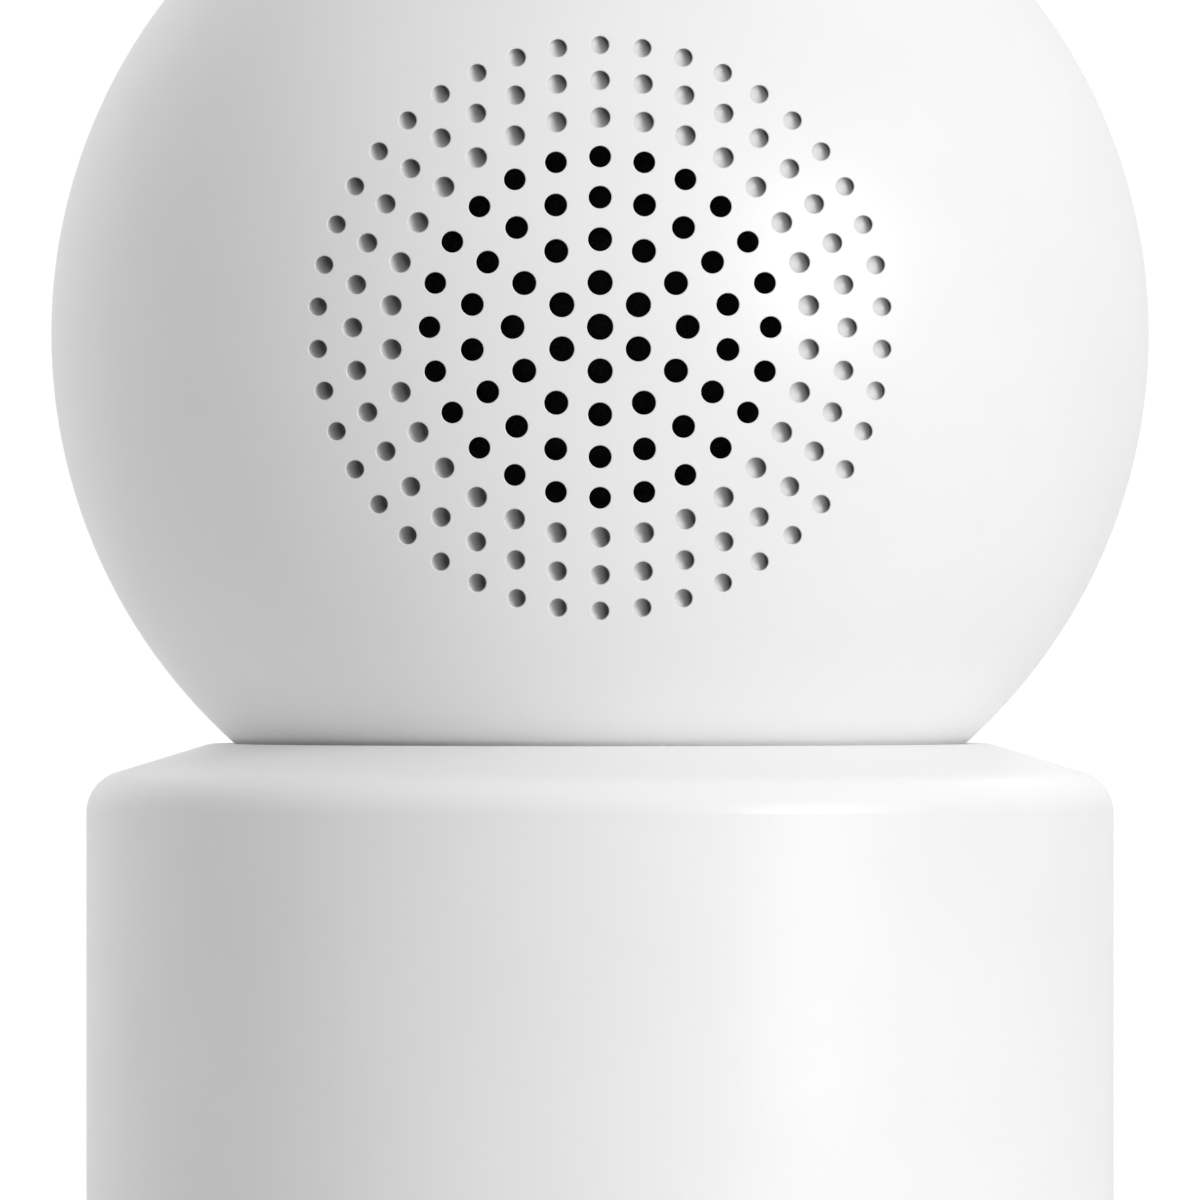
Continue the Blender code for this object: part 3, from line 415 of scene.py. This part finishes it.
def woven(name, colour, pitch=0.22):
    """Fine acoustic cloth."""
    made = Nodes(name, colour, 0.9, Sheen_Weight=0.2)
    weave = made.cells(pitch)
    made.paint(made.tint(weave, 0.1, 0.6, 1.5, 0.5))
    made.gloss(weave, 0.0, 0.7, 0.8, 0.98)
    return made.bump(weave, 0.05).material


def rubbery(name, colour):
    """Soft rubber with a dusty bloom."""
    made = Nodes(name, colour, 0.78)
    made.paint(made.tint(made.noise(1.2, 4.0, 0.7), 0.35, 0.75, 0.8, 1.7))
    made.gloss(made.noise(0.6, 3.0), 0.3, 0.7, 0.68, 0.9)
    return made.bump(made.noise(0.12, 2.0), 0.01).material


def polished_window(name):
    """Black polished plastic with a very faint wipe haze."""
    made = Nodes(name, (0.003, 0.003, 0.0035), 0.05, Specular_IOR_Level=0.42)
    made.paint(made.tint(made.noise(9.0, 4.0), 0.3, 0.7, 0.8, 1.3))
    made.gloss(made.math("ADD", made.noise(11.0, 5.0, 0.65), made.noise(0.9, 2.0)), 0.7, 1.3, 0.06, 0.13)
    return made.bump(made.noise(7.0, 2.0), 0.004).material


def coated_glass(name):
    """The front lens: dark coated glass that lets the barrel behind it show through."""
    made = Nodes(name, (0.008, 0.005, 0.018), 0.02, IOR=1.6, Alpha=0.38)
    made.paint(made.tint(made.noise(5.0, 2.0), 0.3, 0.7, 0.7, 1.4))
    made.gloss(made.noise(3.0, 4.0), 0.3, 0.8, 0.01, 0.05)
    return made.material


def lens_coating(name):
    """The lens element inside, whose coating shifts from violet to green towards its edge."""
    made = Nodes(name, (0.02, 0.01, 0.05), 0.04, Coat_Weight=1.0, Coat_Roughness=0.02)
    edge = made.tree.nodes.new("ShaderNodeLayerWeight")
    edge.inputs["Blend"].default_value = 0.35
    made.paint(made.mix(edge.outputs["Facing"], (0.07, 0.02, 0.20), (0.01, 0.08, 0.07)))
    made.gloss(made.noise(2.0), 0.3, 0.7, 0.02, 0.06)
    return made.material


WHITE = moulded("white_satin_plastic", WHITE_COLOUR, SATIN, Specular_IOR_Level=SATIN_LEVEL)
# painted light: a lighter copy of the base's white plastic, used for the ball
BALL_PAINTED_LIGHT_WHITE = moulded("white_ball_plastic_painted_light", BALL_PAINTED_LIGHT_COLOUR, SATIN, Specular_IOR_Level=SATIN_LEVEL)
MATERIALS = {
    "white_plastic": WHITE,
    "black_gloss": polished_window("black_window"),
    "dark_plastic": moulded("dark_plastic", (0.022, 0.022, 0.024), 0.45, depth=0.008),
    "grey_plastic": moulded("grey_plastic", (0.30, 0.30, 0.31), 0.48, depth=0.008),
    "natural_plastic": moulded("natural_plastic", (0.74, 0.71, 0.62), 0.38, Subsurface_Weight=0.1),
    "lens_glass": coated_glass("lens_glass"),
    "rubber": rubbery("foot_rubber", (0.028, 0.028, 0.03)),
    "steel": brushed("plated_steel", (0.60, 0.61, 0.62), 0.30),
    "brass": brushed("turned_brass", (0.74, 0.55, 0.26), 0.28),
    "aluminium": brushed("aluminium", (0.78, 0.79, 0.80), 0.34),
    "board_green": circuit_board("circuit_board"),
    "cone_paper": woven("cone_paper", (0.02, 0.02, 0.022), 0.35),
    "mesh_cloth": woven("acoustic_cloth", (0.008, 0.008, 0.008)),
}

slot_of = {entry["node"]: entry["material_slot"] for entry in frame["record"]["subparts"]}
for node, piece in frame["nodes"].items():
    piece.data.materials.clear()
    piece.data.materials.append(MATERIALS[slot_of[node]])
    piece.data.shade_smooth()
    piece.data.set_sharp_from_angle(angle=math.radians(32.0))


# ---------------------------------------------------------------- shape helpers
AT_ORIGIN = Matrix.Identity(4)
ALONG_Y = Matrix.Translation(CENTRE) @ Matrix.Rotation(-math.pi / 2, 4, "X")   # own Z is the lens axis


def polar(radius, degrees):
    """The point at a radius and an angle."""
    angle = math.radians(degrees)
    return (radius * math.cos(angle), radius * math.sin(angle))


def circle(radius, count):
    """Points on a circle, from its +X side round."""
    return [polar(radius, 360.0 * i / count) for i in range(count)]


def arc(radius, start, end, step=2.0, centre=(0.0, 0.0)):
    """Points on an arc, no further apart than the step in degrees."""
    count = max(1, math.ceil(abs(end - start) / step))
    points = [polar(radius, start + (end - start) * i / count) for i in range(count + 1)]
    return [(centre[0] + x, centre[1] + y) for x, y in points]


def rounded(corners, step=12.0):
    """A closed outline from (x, y, fillet radius) corners."""
    outline = []
    count = len(corners)
    for i, (x, y, radius) in enumerate(corners):
        here = Vector((x, y))
        before = (Vector(corners[i - 1][:2]) - here).normalized()
        after = (Vector(corners[(i + 1) % count][:2]) - here).normalized()
        opening = before.angle(after)
        if radius <= 0.0 or opening > math.pi - 0.01:
            outline.append((x, y))
            continue
        reach = radius / math.tan(opening / 2)
        middle = here + (before + after).normalized() * (radius / math.sin(opening / 2))
        start, end = here + before * reach - middle, here + after * reach - middle
        turn = start.angle_signed(end)
        steps = max(2, math.ceil(abs(math.degrees(turn)) / step))
        for k in range(steps + 1):
            spin = Matrix.Rotation(-turn * k / steps, 2)
            outline.append(tuple(middle + spin @ start))
    return outline


def divided(outline, longest, closed=True):
    """The outline with its long straight stretches divided."""
    points = []
    count = len(outline)
    for i, here in enumerate(outline):
        points.append(here)
        if i == count - 1 and not closed:
            break
        there = outline[(i + 1) % count]
        pieces = max(1, math.ceil(math.dist(here, there) / longest))
        for k in range(1, pieces):
            points.append(tuple(a + (b - a) * k / pieces for a, b in zip(here, there)))
    return points


def piece_from(form, name, slot, body, replaced=(), place=AT_ORIGIN, material=None, sharp=38.0):
    """Turns the bmesh into a finished piece that rides on a body."""
    mesh = bpy.data.meshes.new(name)
    bmesh.ops.recalc_face_normals(form, faces=form.faces[:])
    form.to_mesh(mesh)
    form.free()
    mesh.transform(place)
    mesh.shade_smooth()
    mesh.set_sharp_from_angle(angle=math.radians(sharp))
    mesh.materials.append(material or MATERIALS[slot])
    piece = bpy.data.objects.new(name, mesh)
    scene.collection.objects.link(piece)
    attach(piece, body)
    if replaced:
        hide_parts(*replaced)
    return piece


def lathe_form(outline, closed=True, steps=ROUND):
    """A solid turned about Z. The outline, as (radius, height), runs down its outer side."""
    form = bmesh.new()
    rings = []
    for radius, height in outline:
        if radius < 0.0001:
            rings.append([form.verts.new((0.0, 0.0, height * MM))] * steps)
            continue
        rings.append([form.verts.new((x, y, height * MM)) for x, y in circle(radius * MM, steps)])
    for upper, lower in zip(rings, rings[1:] + ([rings[0]] if closed else [])):
        for i in range(steps):
            j = (i + 1) % steps
            corners = list(dict.fromkeys((upper[i], lower[i], lower[j], upper[j])))
            if len(corners) > 2:
                form.faces.new(corners)
    return form


def lathe(name, outline, slot, body, replaced=(), place=AT_ORIGIN, closed=True, steps=ROUND,
          material=None):
    """A turned piece that rides on a body."""
    return piece_from(lathe_form(outline, closed, steps), name, slot, body, replaced, place, material)


def prism_form(outline, depth):
    """An outline in the XY plane, as a solid that reaches depth / 2 to each side."""
    form = bmesh.new()
    rings = []
    for side in (-0.5, 0.5):
        rings.append([form.verts.new((x * MM, y * MM, side * depth * MM)) for x, y in outline])
    count = len(outline)
    form.faces.new(list(reversed(rings[0])))
    form.faces.new(rings[1])
    for i in range(count):
        j = (i + 1) % count
        form.faces.new((rings[0][i], rings[0][j], rings[1][j], rings[1][i]))
    return form


def stadium(width, height, step=10.0):
    """A flat oval with round ends."""
    end = (width - height) / 2
    return arc(height / 2, -90, 90, step, (end, 0.0)) + arc(height / 2, 90, 270, step, (-end, 0.0))


def cut(piece, form, place=AT_ORIGIN):
    """Cuts the bmesh out of a piece's mesh, for good."""
    mesh = bpy.data.meshes.new("cutter")
    bmesh.ops.recalc_face_normals(form, faces=form.faces[:])
    form.to_mesh(mesh)
    form.free()
    mesh.transform(place)
    tool = bpy.data.objects.new("cutter", mesh)
    scene.collection.objects.link(tool)
    step = piece.modifiers.new("cut", "BOOLEAN")
    step.operation = "DIFFERENCE"
    step.solver = "EXACT"
    step.object = tool
    bpy.context.view_layer.update()
    evaluated = piece.evaluated_get(bpy.context.evaluated_depsgraph_get())
    result = bpy.data.meshes.new_from_object(evaluated)
    piece.modifiers.clear()
    old = piece.data
    piece.data = result
    bpy.data.meshes.remove(old)
    bpy.data.objects.remove(tool)
    bpy.data.meshes.remove(mesh)


def soften(piece, wanted, width, segments=3):
    """Rounds the edges that a test picks from their middle point, in millimetres."""
    form = bmesh.new()
    form.from_mesh(piece.data)
    edges = [edge for edge in form.edges
             if edge.is_manifold and edge.calc_face_angle(0.0) > math.radians(40)
             and wanted((edge.verts[0].co + edge.verts[1].co) / (2 * MM))]
    bmesh.ops.bevel(form, geom=edges, offset=width * MM, segments=segments, profile=0.5, affect="EDGES",
                    clamp_overlap=True)
    form.to_mesh(piece.data)
    form.free()
    piece.data.shade_smooth()
    piece.data.set_sharp_from_angle(angle=math.radians(38.0))


def true_normals(piece, surfaces):
    """Gives faces on a sphere or an upright wall the normals of the true surface. Each surface is
    a function from a point in metres to a unit normal, or to None away from that surface."""
    mesh = piece.data
    normals = [Vector(corner.vector) for corner in mesh.corner_normals]
    for face in mesh.polygons:
        points = [mesh.vertices[mesh.loops[i].vertex_index].co for i in face.loop_indices]
        for surface in surfaces:
            found = [surface(point) for point in points]
            if all(normal is not None for normal in found) and found[0].dot(face.normal) > 0.9:
                for i, normal in zip(face.loop_indices, found):
                    normals[i] = normal
                break
    mesh.normals_split_custom_set(normals)


def on_ball(point, radius=BALL_RADIUS):
    """The outward normal at a point on the ball, or on a sphere inside it."""
    away = point - CENTRE
    return away.normalized() if abs(away.length - radius * MM) < NEAR else None


def on_wall(point):
    """The base wall's outward normal at a point on it."""
    away = Vector((point.x, point.y, 0.0))
    return away.normalized() if abs(away.length - BASE_RADIUS * MM) < NEAR else None


# ---------------------------------------------------------------- base
def facing_out(middle):
    """Places a form on the power inlet, with its own Z along -Y and its middle at the given Y."""
    return Matrix.Translation((0.0, middle * MM, INLET_HEIGHT * MM)) @ Matrix.Rotation(math.pi / 2, 4, "X")


def make_base_cover():
    """The turned cover: coned collar, filleted shoulder, wall and power inlet."""
    slope = math.tan(math.radians(CONE_ANGLE))
    inner = BASE_RADIUS - WALL
    drop = BALL_HEIGHT - RIM_HEIGHT
    rim_inner = math.sqrt(LIP_RADIUS ** 2 - drop ** 2)
    lip = [(r, BALL_HEIGHT - math.sqrt(LIP_RADIUS ** 2 - r * r)) for r in LIP_RADII]
    corners = [(rim_inner, RIM_HEIGHT, 0.15), (LAND_RADIUS, RIM_HEIGHT, 2.0),
               (BASE_RADIUS, RIM_HEIGHT - (BASE_RADIUS - LAND_RADIUS) * slope, 3.0),
               (BASE_RADIUS, SHELL_BOTTOM, 0.6), (inner, SHELL_BOTTOM, 0.2), (inner, 42.4, 1.5),
               (LIP_RADII[0], 43.6, 0.3)]
    outline = rounded(corners + [(x, z, 0.0) for x, z in lip], 5.0)
    # the cover's material has painted light on the collar that faces up
    cover = lathe("base_cover", divided(outline, 2.0), "white_plastic", "base", ("base_shell",),
                  material=collar_painted_light_plastic("white_collar_plastic_painted_light", WHITE_COLOUR, SATIN))
    cutter = 6.0
    recess_floor = extent("usb_socket", 1, 0) + 0.1
    for opening, middle in ((stadium(11.0, 5.0, 6.0), recess_floor - cutter / 2),
                            (stadium(9.3, 3.5, 6.0), -BASE_RADIUS)):
        cut(cover, prism_form(opening, cutter), facing_out(middle))
    soften(cover, lambda p: abs(p.x) < 7 and p.y < -35.5 and 5 < p.z < 13, 0.3)
    true_normals(cover, [on_wall])


def make_base_details():
    """Screw columns, bottom cover, foot ring and seal."""
    plate_radius = BASE_RADIUS - WALL - 0.3
    thread_hole = 6.4
    places = []
    for i in range(BASE_SCREWS):
        x, y = polar(SCREW_CIRCLE, 360.0 / BASE_SCREWS * i)
        places.append(Matrix.Translation((x * MM, y * MM, 0)))
    column = rounded([(2.6, 27.6, 0.3), (2.6, 3.9, 0.3), (COLUMN_BORE, 3.9, 0.1),
                      (COLUMN_BORE, 27.6, 0.1)])
    for i, place in enumerate(places):
        lathe(f"base_column_{i + 1}", column, "white_plastic", "base", (), place, steps=32)
    top = extent("bottom_cover", 2, 1)
    plate = rounded([(plate_radius, top, 0.4), (plate_radius, SHELL_BOTTOM, 0.3),
                     (thread_hole, SHELL_BOTTOM, 0.3), (thread_hole, top, 0.2)])
    cover = lathe("bottom_plate", plate, "white_plastic", "base", ("bottom_cover",))
    for place in places:
        for radius, height in ((2.2, 3.0), (1.2, 5.0)):
            bore = lathe_form([(0, height), (radius, height), (radius, 0.0), (0, 0.0)], False, 32)
            cut(cover, bore, place)
    top, outer, inner = extent("foot_ring", 2, 1), extent("foot_ring", 0, 1), 27.0
    ring = rounded([(outer, top, 0.1), (outer, 0.0, 0.5), (inner, 0.0, 0.5), (inner, top, 0.1)])
    lathe("rubber_foot", ring, "rubber", "base", ("foot_ring",))
    low, high, outer = extent("collar_seal", 2, 0), extent("collar_seal", 2, 1), extent("collar_seal", 0, 1)
    inner = 21.8
    seal = rounded([(outer, high, 0.1), (outer, low, 0.1), (inner, low, 0.3), (inner, high, 0.3)])
    lathe("ball_seal", seal, "rubber", "base", ("collar_seal",))


def make_socket():
    """The power socket: a drawn steel shell round a tongue with contacts."""
    front, back = extent("usb_socket", 1, 0), extent("usb_socket", 1, 1)
    depth = back - front
    place = facing_out((front + back) / 2)
    form = prism_form(stadium(9.0, 3.2, 8.0), depth)
    shell = piece_from(form, "socket_shell", "steel", "base", ("usb_socket",), place)
    ahead = place @ Matrix.Translation((0.0, 0.0, 0.8 * MM))
    cut(shell, prism_form(stadium(8.34, 2.54, 8.0), depth), ahead)
    soften(shell, lambda p: p.y < front + 0.1, 0.08, 2)
    section = rounded([(-3.3, -0.35, 0.2), (3.3, -0.35, 0.2), (3.3, 0.35, 0.2), (-3.3, 0.35, 0.2)])
    ahead = place @ Matrix.Translation((0.0, 0.0, 0.2 * MM))
    piece_from(prism_form(section, 4.8), "socket_tongue", "dark_plastic", "base", (), ahead)
    ahead = place @ Matrix.Translation((0.0, 0.0, 0.4 * MM))
    for i in range(12):
        left, right = (i - 5.5) * 0.5 - 0.13, (i - 5.5) * 0.5 + 0.13
        contact = prism_form([(left, -0.38), (right, -0.38), (right, 0.38), (left, 0.38)], 3.6)
        piece_from(contact, f"socket_contact_{i + 1}", "brass", "base", (), ahead)


# ---------------------------------------------------------------- ball
def grille_holes():
    """(x, z, radius, goes through) of each hole about the ball's -Y pole, in millimetres."""
    holes = []
    for ring in range(GRILLE_RINGS + 1):
        out = BALL_RADIUS * math.sin(math.radians(4.5 * ring - 0.03 * ring * (ring - 1)))
        count = max(1, 6 * ring)
        for i in range(count):
            z, x = polar(out, 360.0 * i / count)
            holes.append((x, z, (1.82 - 0.078 * ring) / 2, ring <= THROUGH_RINGS))
    return holes


def punched_disc(holes, reach, rim, around, spacing):
    """Triangulates a disc with round holes in it. Returns its points, its triangles, the index of
    the first point of each hole's circle, and of the disc's edge."""
    points = [Vector(spot) for spot in circle(reach, rim)]
    edges = [(i, (i + 1) % rim) for i in range(rim)]
    starts = []
    for x, z, radius, _ in holes:
        first = len(points)
        starts.append(first)
        points += [Vector((x, z)) + Vector(spot) for spot in circle(radius, around)]
        edges += [(first + i, first + (i + 1) % around) for i in range(around)]
    rows = int(reach / spacing) + 2
    for row in range(-rows, rows + 1):
        for column in range(-rows, rows + 1):
            spot = Vector(((column + 0.5 * (row % 2)) * spacing, row * spacing * 0.866))
            clear = all((spot - Vector((x, z))).length > radius + 0.45 * spacing
                        for x, z, radius, _ in holes)
            if clear and spot.length < reach - 0.5 * spacing:
                points.append(spot)
    found, _, triangles, _, _, _ = delaunay_2d_cdt(points, edges, [], 0, 1e-7)
    kept = []
    for triangle in triangles:
        middle = sum((found[i] for i in triangle), Vector((0.0, 0.0))) / 3
        if all((middle - Vector((x, z))).length > radius * 0.985 for x, z, radius, _ in holes):
            kept.append(tuple(triangle))
    return found, kept, starts


def make_rear_half():
    """The grille's half of the ball: a shell with 61 open holes and 108 blind dimples."""
    around, reach = 28, 21.5
    holes = grille_holes()
    form = bmesh.new()

    def at(x, z, radius=BALL_RADIUS, inward=0.0):
        """A point on a sphere's -Y side, moved in along +Y."""
        return Vector((x, -math.sqrt(radius ** 2 - x * x - z * z) + inward, z)) * MM

    outer_holes = [(x, z, radius + PIT_LIP, through) for x, z, radius, through in holes]
    flat, triangles, starts = punched_disc(outer_holes, reach, ROUND, around, 0.85)
    outer = [form.verts.new(at(*point)) for point in flat]
    for triangle in triangles:
        form.faces.new([outer[i] for i in triangle])
    through = [hole for hole in holes if hole[3]]
    inner_flat, inner_triangles, inner_starts = punched_disc(through, reach, ROUND, around, 1.4)
    inner = [form.verts.new(at(*point, INNER_RADIUS)) for point in inner_flat]
    for triangle in inner_triangles:
        form.faces.new([inner[i] for i in reversed(triangle)])

    def band(first, second):
        count = len(first)
        for i in range(count):
            j = (i + 1) % count
            form.faces.new((first[i], first[j], second[j], second[i]))

    def next_ring(ring, x, z, radius, depth):
        """Joins a hole's ring to one of another radius, at a depth below the sphere."""
        following = [form.verts.new(at(x + a, z + b, inward=depth)) for a, b in circle(radius, around)]
        band(ring, following)
        return following

    inner_rings = iter(inner_starts)
    for (x, z, radius, opens), start in zip(holes, starts):
        ring = outer[start:start + around]
        for turn in (30.0, 60.0, 90.0):
            across, down = polar(PIT_LIP, turn)
            ring = next_ring(ring, x, z, radius + PIT_LIP - down, PIT_LIP - across)
        if opens:
            first = next(inner_rings)
            band(ring, inner[first:first + around])
            continue
        bowl = 1.15 * radius
        for turn in (18.0, 36.0, 54.0, 72.0):
            across, down = polar(1.0, turn)
            ring = next_ring(ring, x, z, radius * across, PIT_LIP + bowl * down)
        middle = form.verts.new(at(x, z, inward=PIT_LIP + bowl))
        for i in range(around):
            form.faces.new((ring[i], ring[(i + 1) % around], middle))

    seam = SEAM - SEAM_HALF_GAP

    def sweep(ring, profile):
        """Carries a ring round the ball's Y axis through (y, radius) points."""
        for along, radius in profile:
            following = [form.verts.new(Vector((a, along, b)) * MM) for a, b in circle(radius, ROUND)]
            band(ring, following)
            ring = following
        return ring

    def sphere(radius, end, step):
        """The profile of a sphere, from the disc's edge to a height ahead of the ball's centre."""
        first = math.degrees(math.asin(reach / radius))
        last = 90.0 + math.degrees(math.asin(end / radius))
        return [(-out, away) for out, away in arc(radius, first, last, step)[1:]]

    corner = [(seam - SEAM_ROUNDING + across, BALL_RADIUS - SEAM_ROUNDING + down)
              for down, across in arc(SEAM_ROUNDING, 30.0, 90.0, 30.0)]
    outer_ring = sweep(outer[:ROUND], sphere(BALL_RADIUS, seam - SEAM_ROUNDING, 1.6) + corner)
    inner_ring = sweep(inner[:ROUND], sphere(INNER_RADIUS, seam, 3.0))
    band(outer_ring, inner_ring)
    # its material has painted shade in the pits and holes
    half = piece_from(form, "ball_rear_half", "white_plastic", "head", ("rear_shell",),
                      Matrix.Translation(CENTRE),
                      grille_plastic_painted_shade("white_grille_plastic_painted_shade", BALL_PAINTED_LIGHT_COLOUR, SATIN))
    cut(half, neck_slot(), Matrix.Translation(CENTRE))
    true_normals(half, [on_ball])


def neck_slot():
    """What the yoke's neck needs to move in, in the ball's underside."""
    low, high = TILT_LIMITS
    margin = 5.4                                    # degrees past the yoke's middle at each limit
    rear, front = -90.0 - high - margin, -90.0 - low + margin
    outline = arc(43.0, rear, front, 3.0) + arc(34.0, front, rear, 3.0)
    form = prism_form(outline, 16.0)
    turn = Matrix(((0, 0, 1, 0), (1, 0, 0, 0), (0, 1, 0, 0), (0, 0, 0, 1)))
    bmesh.ops.transform(form, matrix=turn, verts=form.verts[:])
    return form


def service_place(side, distance):
    """A place on the radial line through the card slot or the reset button, with Z along it."""
    across = math.asin(side / BALL_RADIUS)
    down = math.radians(SERVICE_ELEVATION)
    toward = Vector((math.sin(across), math.cos(across) * math.cos(down), math.cos(across) * math.sin(down)))
    facing = toward.to_track_quat("Z", "Y").to_matrix().to_4x4()
    return Matrix.Translation(CENTRE + toward * distance * MM) @ facing


def make_front_half():
    """The lens side of the ball, with the window's ledge, the card slot and the reset hole."""
    window_edge, ledge = 90.0 - WINDOW_ANGLE - 0.35, BALL_RADIUS - 3.8
    seam = SEAM + SEAM_HALF_GAP
    first = math.degrees(math.asin((seam + SEAM_ROUNDING) / BALL_RADIUS))
    outline = arc(BALL_RADIUS, window_edge, first, 1.6)
    outline += [(BALL_RADIUS - 0.03, seam + 0.1), (BALL_RADIUS - 0.1, seam + 0.03),
                (BALL_RADIUS - SEAM_ROUNDING, seam)]
    outline += arc(INNER_RADIUS, math.degrees(math.asin(seam / INNER_RADIUS)), 38.0, 3.0)
    outline += arc(ledge, 41.0, 54.0, 3.0) + arc(INNER_RADIUS, 54.0, window_edge, 3.0)
    outline.append(polar(BALL_RADIUS - 0.15, window_edge))
    half = lathe("ball_front_half", outline, "white_plastic", "head", ("front_shell",), ALONG_Y,
                 material=BALL_PAINTED_LIGHT_WHITE)
    cut(half, neck_slot(), Matrix.Translation(CENTRE))
    cut(half, prism_form(stadium(12.0, 1.7, 10.0), 8.0), service_place(0.0, 38.0))
    cut(half, prism_form(arc(1.45, 0, 350, 10.0), 8.0), service_place(BUTTON_SIDE, 38.0))
    slot, button = (service_place(side, BALL_RADIUS).translation / MM for side in (0.0, BUTTON_SIDE))
    soften(half, lambda p: ((p - slot).length < 7.0 or (p - button).length < 2.5)
           and (p - CENTRE / MM).length > BALL_RADIUS - 0.2, 0.18)
    true_normals(half, [on_ball])
    key = [(0, 39.0), (0.85, 39.0), (1.05, 38.92), (1.17, 38.75), (1.2, 38.5), (1.2, 36.7),
           (2.0, 36.7), (2.0, 36.1), (0, 36.1)]
    lathe("reset_key", key, "grey_plastic", "reset_button", ("reset_button",),
          service_place(BUTTON_SIDE, 0.0), False, 40)


def make_window():
    """The glossy window, with its lens opening, microphone hole and status light."""
    surface, inner, opening = BALL_RADIUS - 0.03, 37.3, 9.6
    top, inner_top = (math.degrees(math.acos(opening / radius)) for radius in (BALL_RADIUS, inner))
    low = 90.0 - WINDOW_ANGLE
    outline = [polar(BALL_RADIUS - 0.12, top)] + arc(surface, top - 0.25, low + 0.25, 1.6)
    outline += [polar(BALL_RADIUS - 0.12, low + 0.05), polar(BALL_RADIUS - 0.3, low)]
    outline += arc(inner, low, inner_top, 2.0)
    window = lathe("lens_window", outline, "black_gloss", "head", ("face_window",), ALONG_Y)
    for height, radius in ((MARK_OFFSET, 0.45), (-MARK_OFFSET, 1.1)):
        form = lathe_form([(0, 8.0), (radius, 8.0), (radius, -8.0), (0, -8.0)], False, 32)
        cut(window, form, ALONG_Y @ Matrix.Translation((0.0, -height * MM, 35.0 * MM)))
    true_normals(window, [lambda p: on_ball(p, surface)])
    tip = math.sqrt((BALL_RADIUS - 0.1) ** 2 - MARK_OFFSET ** 2)
    pipe = rounded([(0.9, tip, 0.25), (0.9, 29.5, 0.1), (0, 29.5, 0), (0, tip, 0)])
    lathe("light_pipe", [(0, tip)] + pipe[:-1], "natural_plastic", "head", ("status_light",),
          ALONG_Y @ Matrix.Translation((0.0, MARK_OFFSET * MM, 0.0)), False, 32)


def cap(radius, height, rise, angles):
    """The profile of a domed lens face, as (radius, height) at the given angles off its middle."""
    return [(radius * math.sin(math.radians(a)), height + rise * math.cos(math.radians(a))) for a in angles]


def make_lens():
    """Bezel, front glass, stepped barrel and the coated element inside."""
    bezel = rounded([(7.3, 37.75, 0.12), (8.7, 38.05, 0.25), (9.25, 37.5, 0.25), (9.25, 33.0, 0.1),
                     (6.6, 33.0, 0.1), (6.6, 36.6, 0.1)])
    lathe("lens_bezel", bezel, "dark_plastic", "head", ("lens_ring",), ALONG_Y, steps=96)
    outer, under = cap(6.3, 35.5, 1.3, range(0, 91, 6)), cap(5.2, 34.7, 0.7, range(90, -1, -10))
    lathe("front_glass", outer + [(6.3, 34.7)] + under, "lens_glass", "head", ("lens_glass",), ALONG_Y,
          False, 96)
    outline = [(6.2, 34.4), (6.2, 24.0), (8.5, 23.0), (8.5, 18.3), (2.2, 18.3), (2.2, 28.4)]
    outline += [(2.9, 28.4), (2.9, 29.3), (3.5, 29.3), (3.5, 30.3), (4.1, 30.3), (4.1, 31.3),
                (4.7, 31.3), (4.7, 32.4), (5.3, 32.4), (5.3, 33.5), (5.8, 33.5), (5.8, 34.4)]
    lathe("stepped_barrel", outline, "dark_plastic", "head", ("lens_barrel",), ALONG_Y, steps=96)
    element = [(0, 29.3)] + cap(2.8, 28.3, 1.0, range(10, 81, 10))
    element += [(2.85, 28.45), (2.85, 28.5), (2.1, 28.3), (0, 28.2)]
    lathe("inner_element", element, "lens_glass", "head", (), ALONG_Y, False, 64,
          lens_coating("lens_coating"))


def make_screw_columns():
    """The columns inside the ball that its four screws join."""
    rear = rounded([(3.0, 0.5, 0.3), (3.0, -26.9, 0.3), (COLUMN_BORE, -26.9, 0.1),
                    (COLUMN_BORE, 0.5, 0.1)])
    front = rounded([(3.0, 26.3, 0.3), (3.0, 3.1, 0.3), (COLUMN_BORE, 3.1, 0.1), (COLUMN_BORE, 10.0, 0.1),
                     (2.2, 10.0, 0.1), (2.2, 26.3, 0.1)])
    for i, (x, z) in enumerate(SHELL_SCREWS):
        place = ALONG_Y @ Matrix.Translation((x * MM, -z * MM, 0.0))
        lathe(f"rear_column_{i + 1}", rear, "white_plastic", "head", (), place, steps=32)
        lathe(f"front_column_{i + 1}", front, "white_plastic", "head", (), place, steps=32)


make_base_cover()
make_base_details()
make_screw_columns()
make_socket()
make_rear_half()
make_front_half()
make_window()
make_lens()
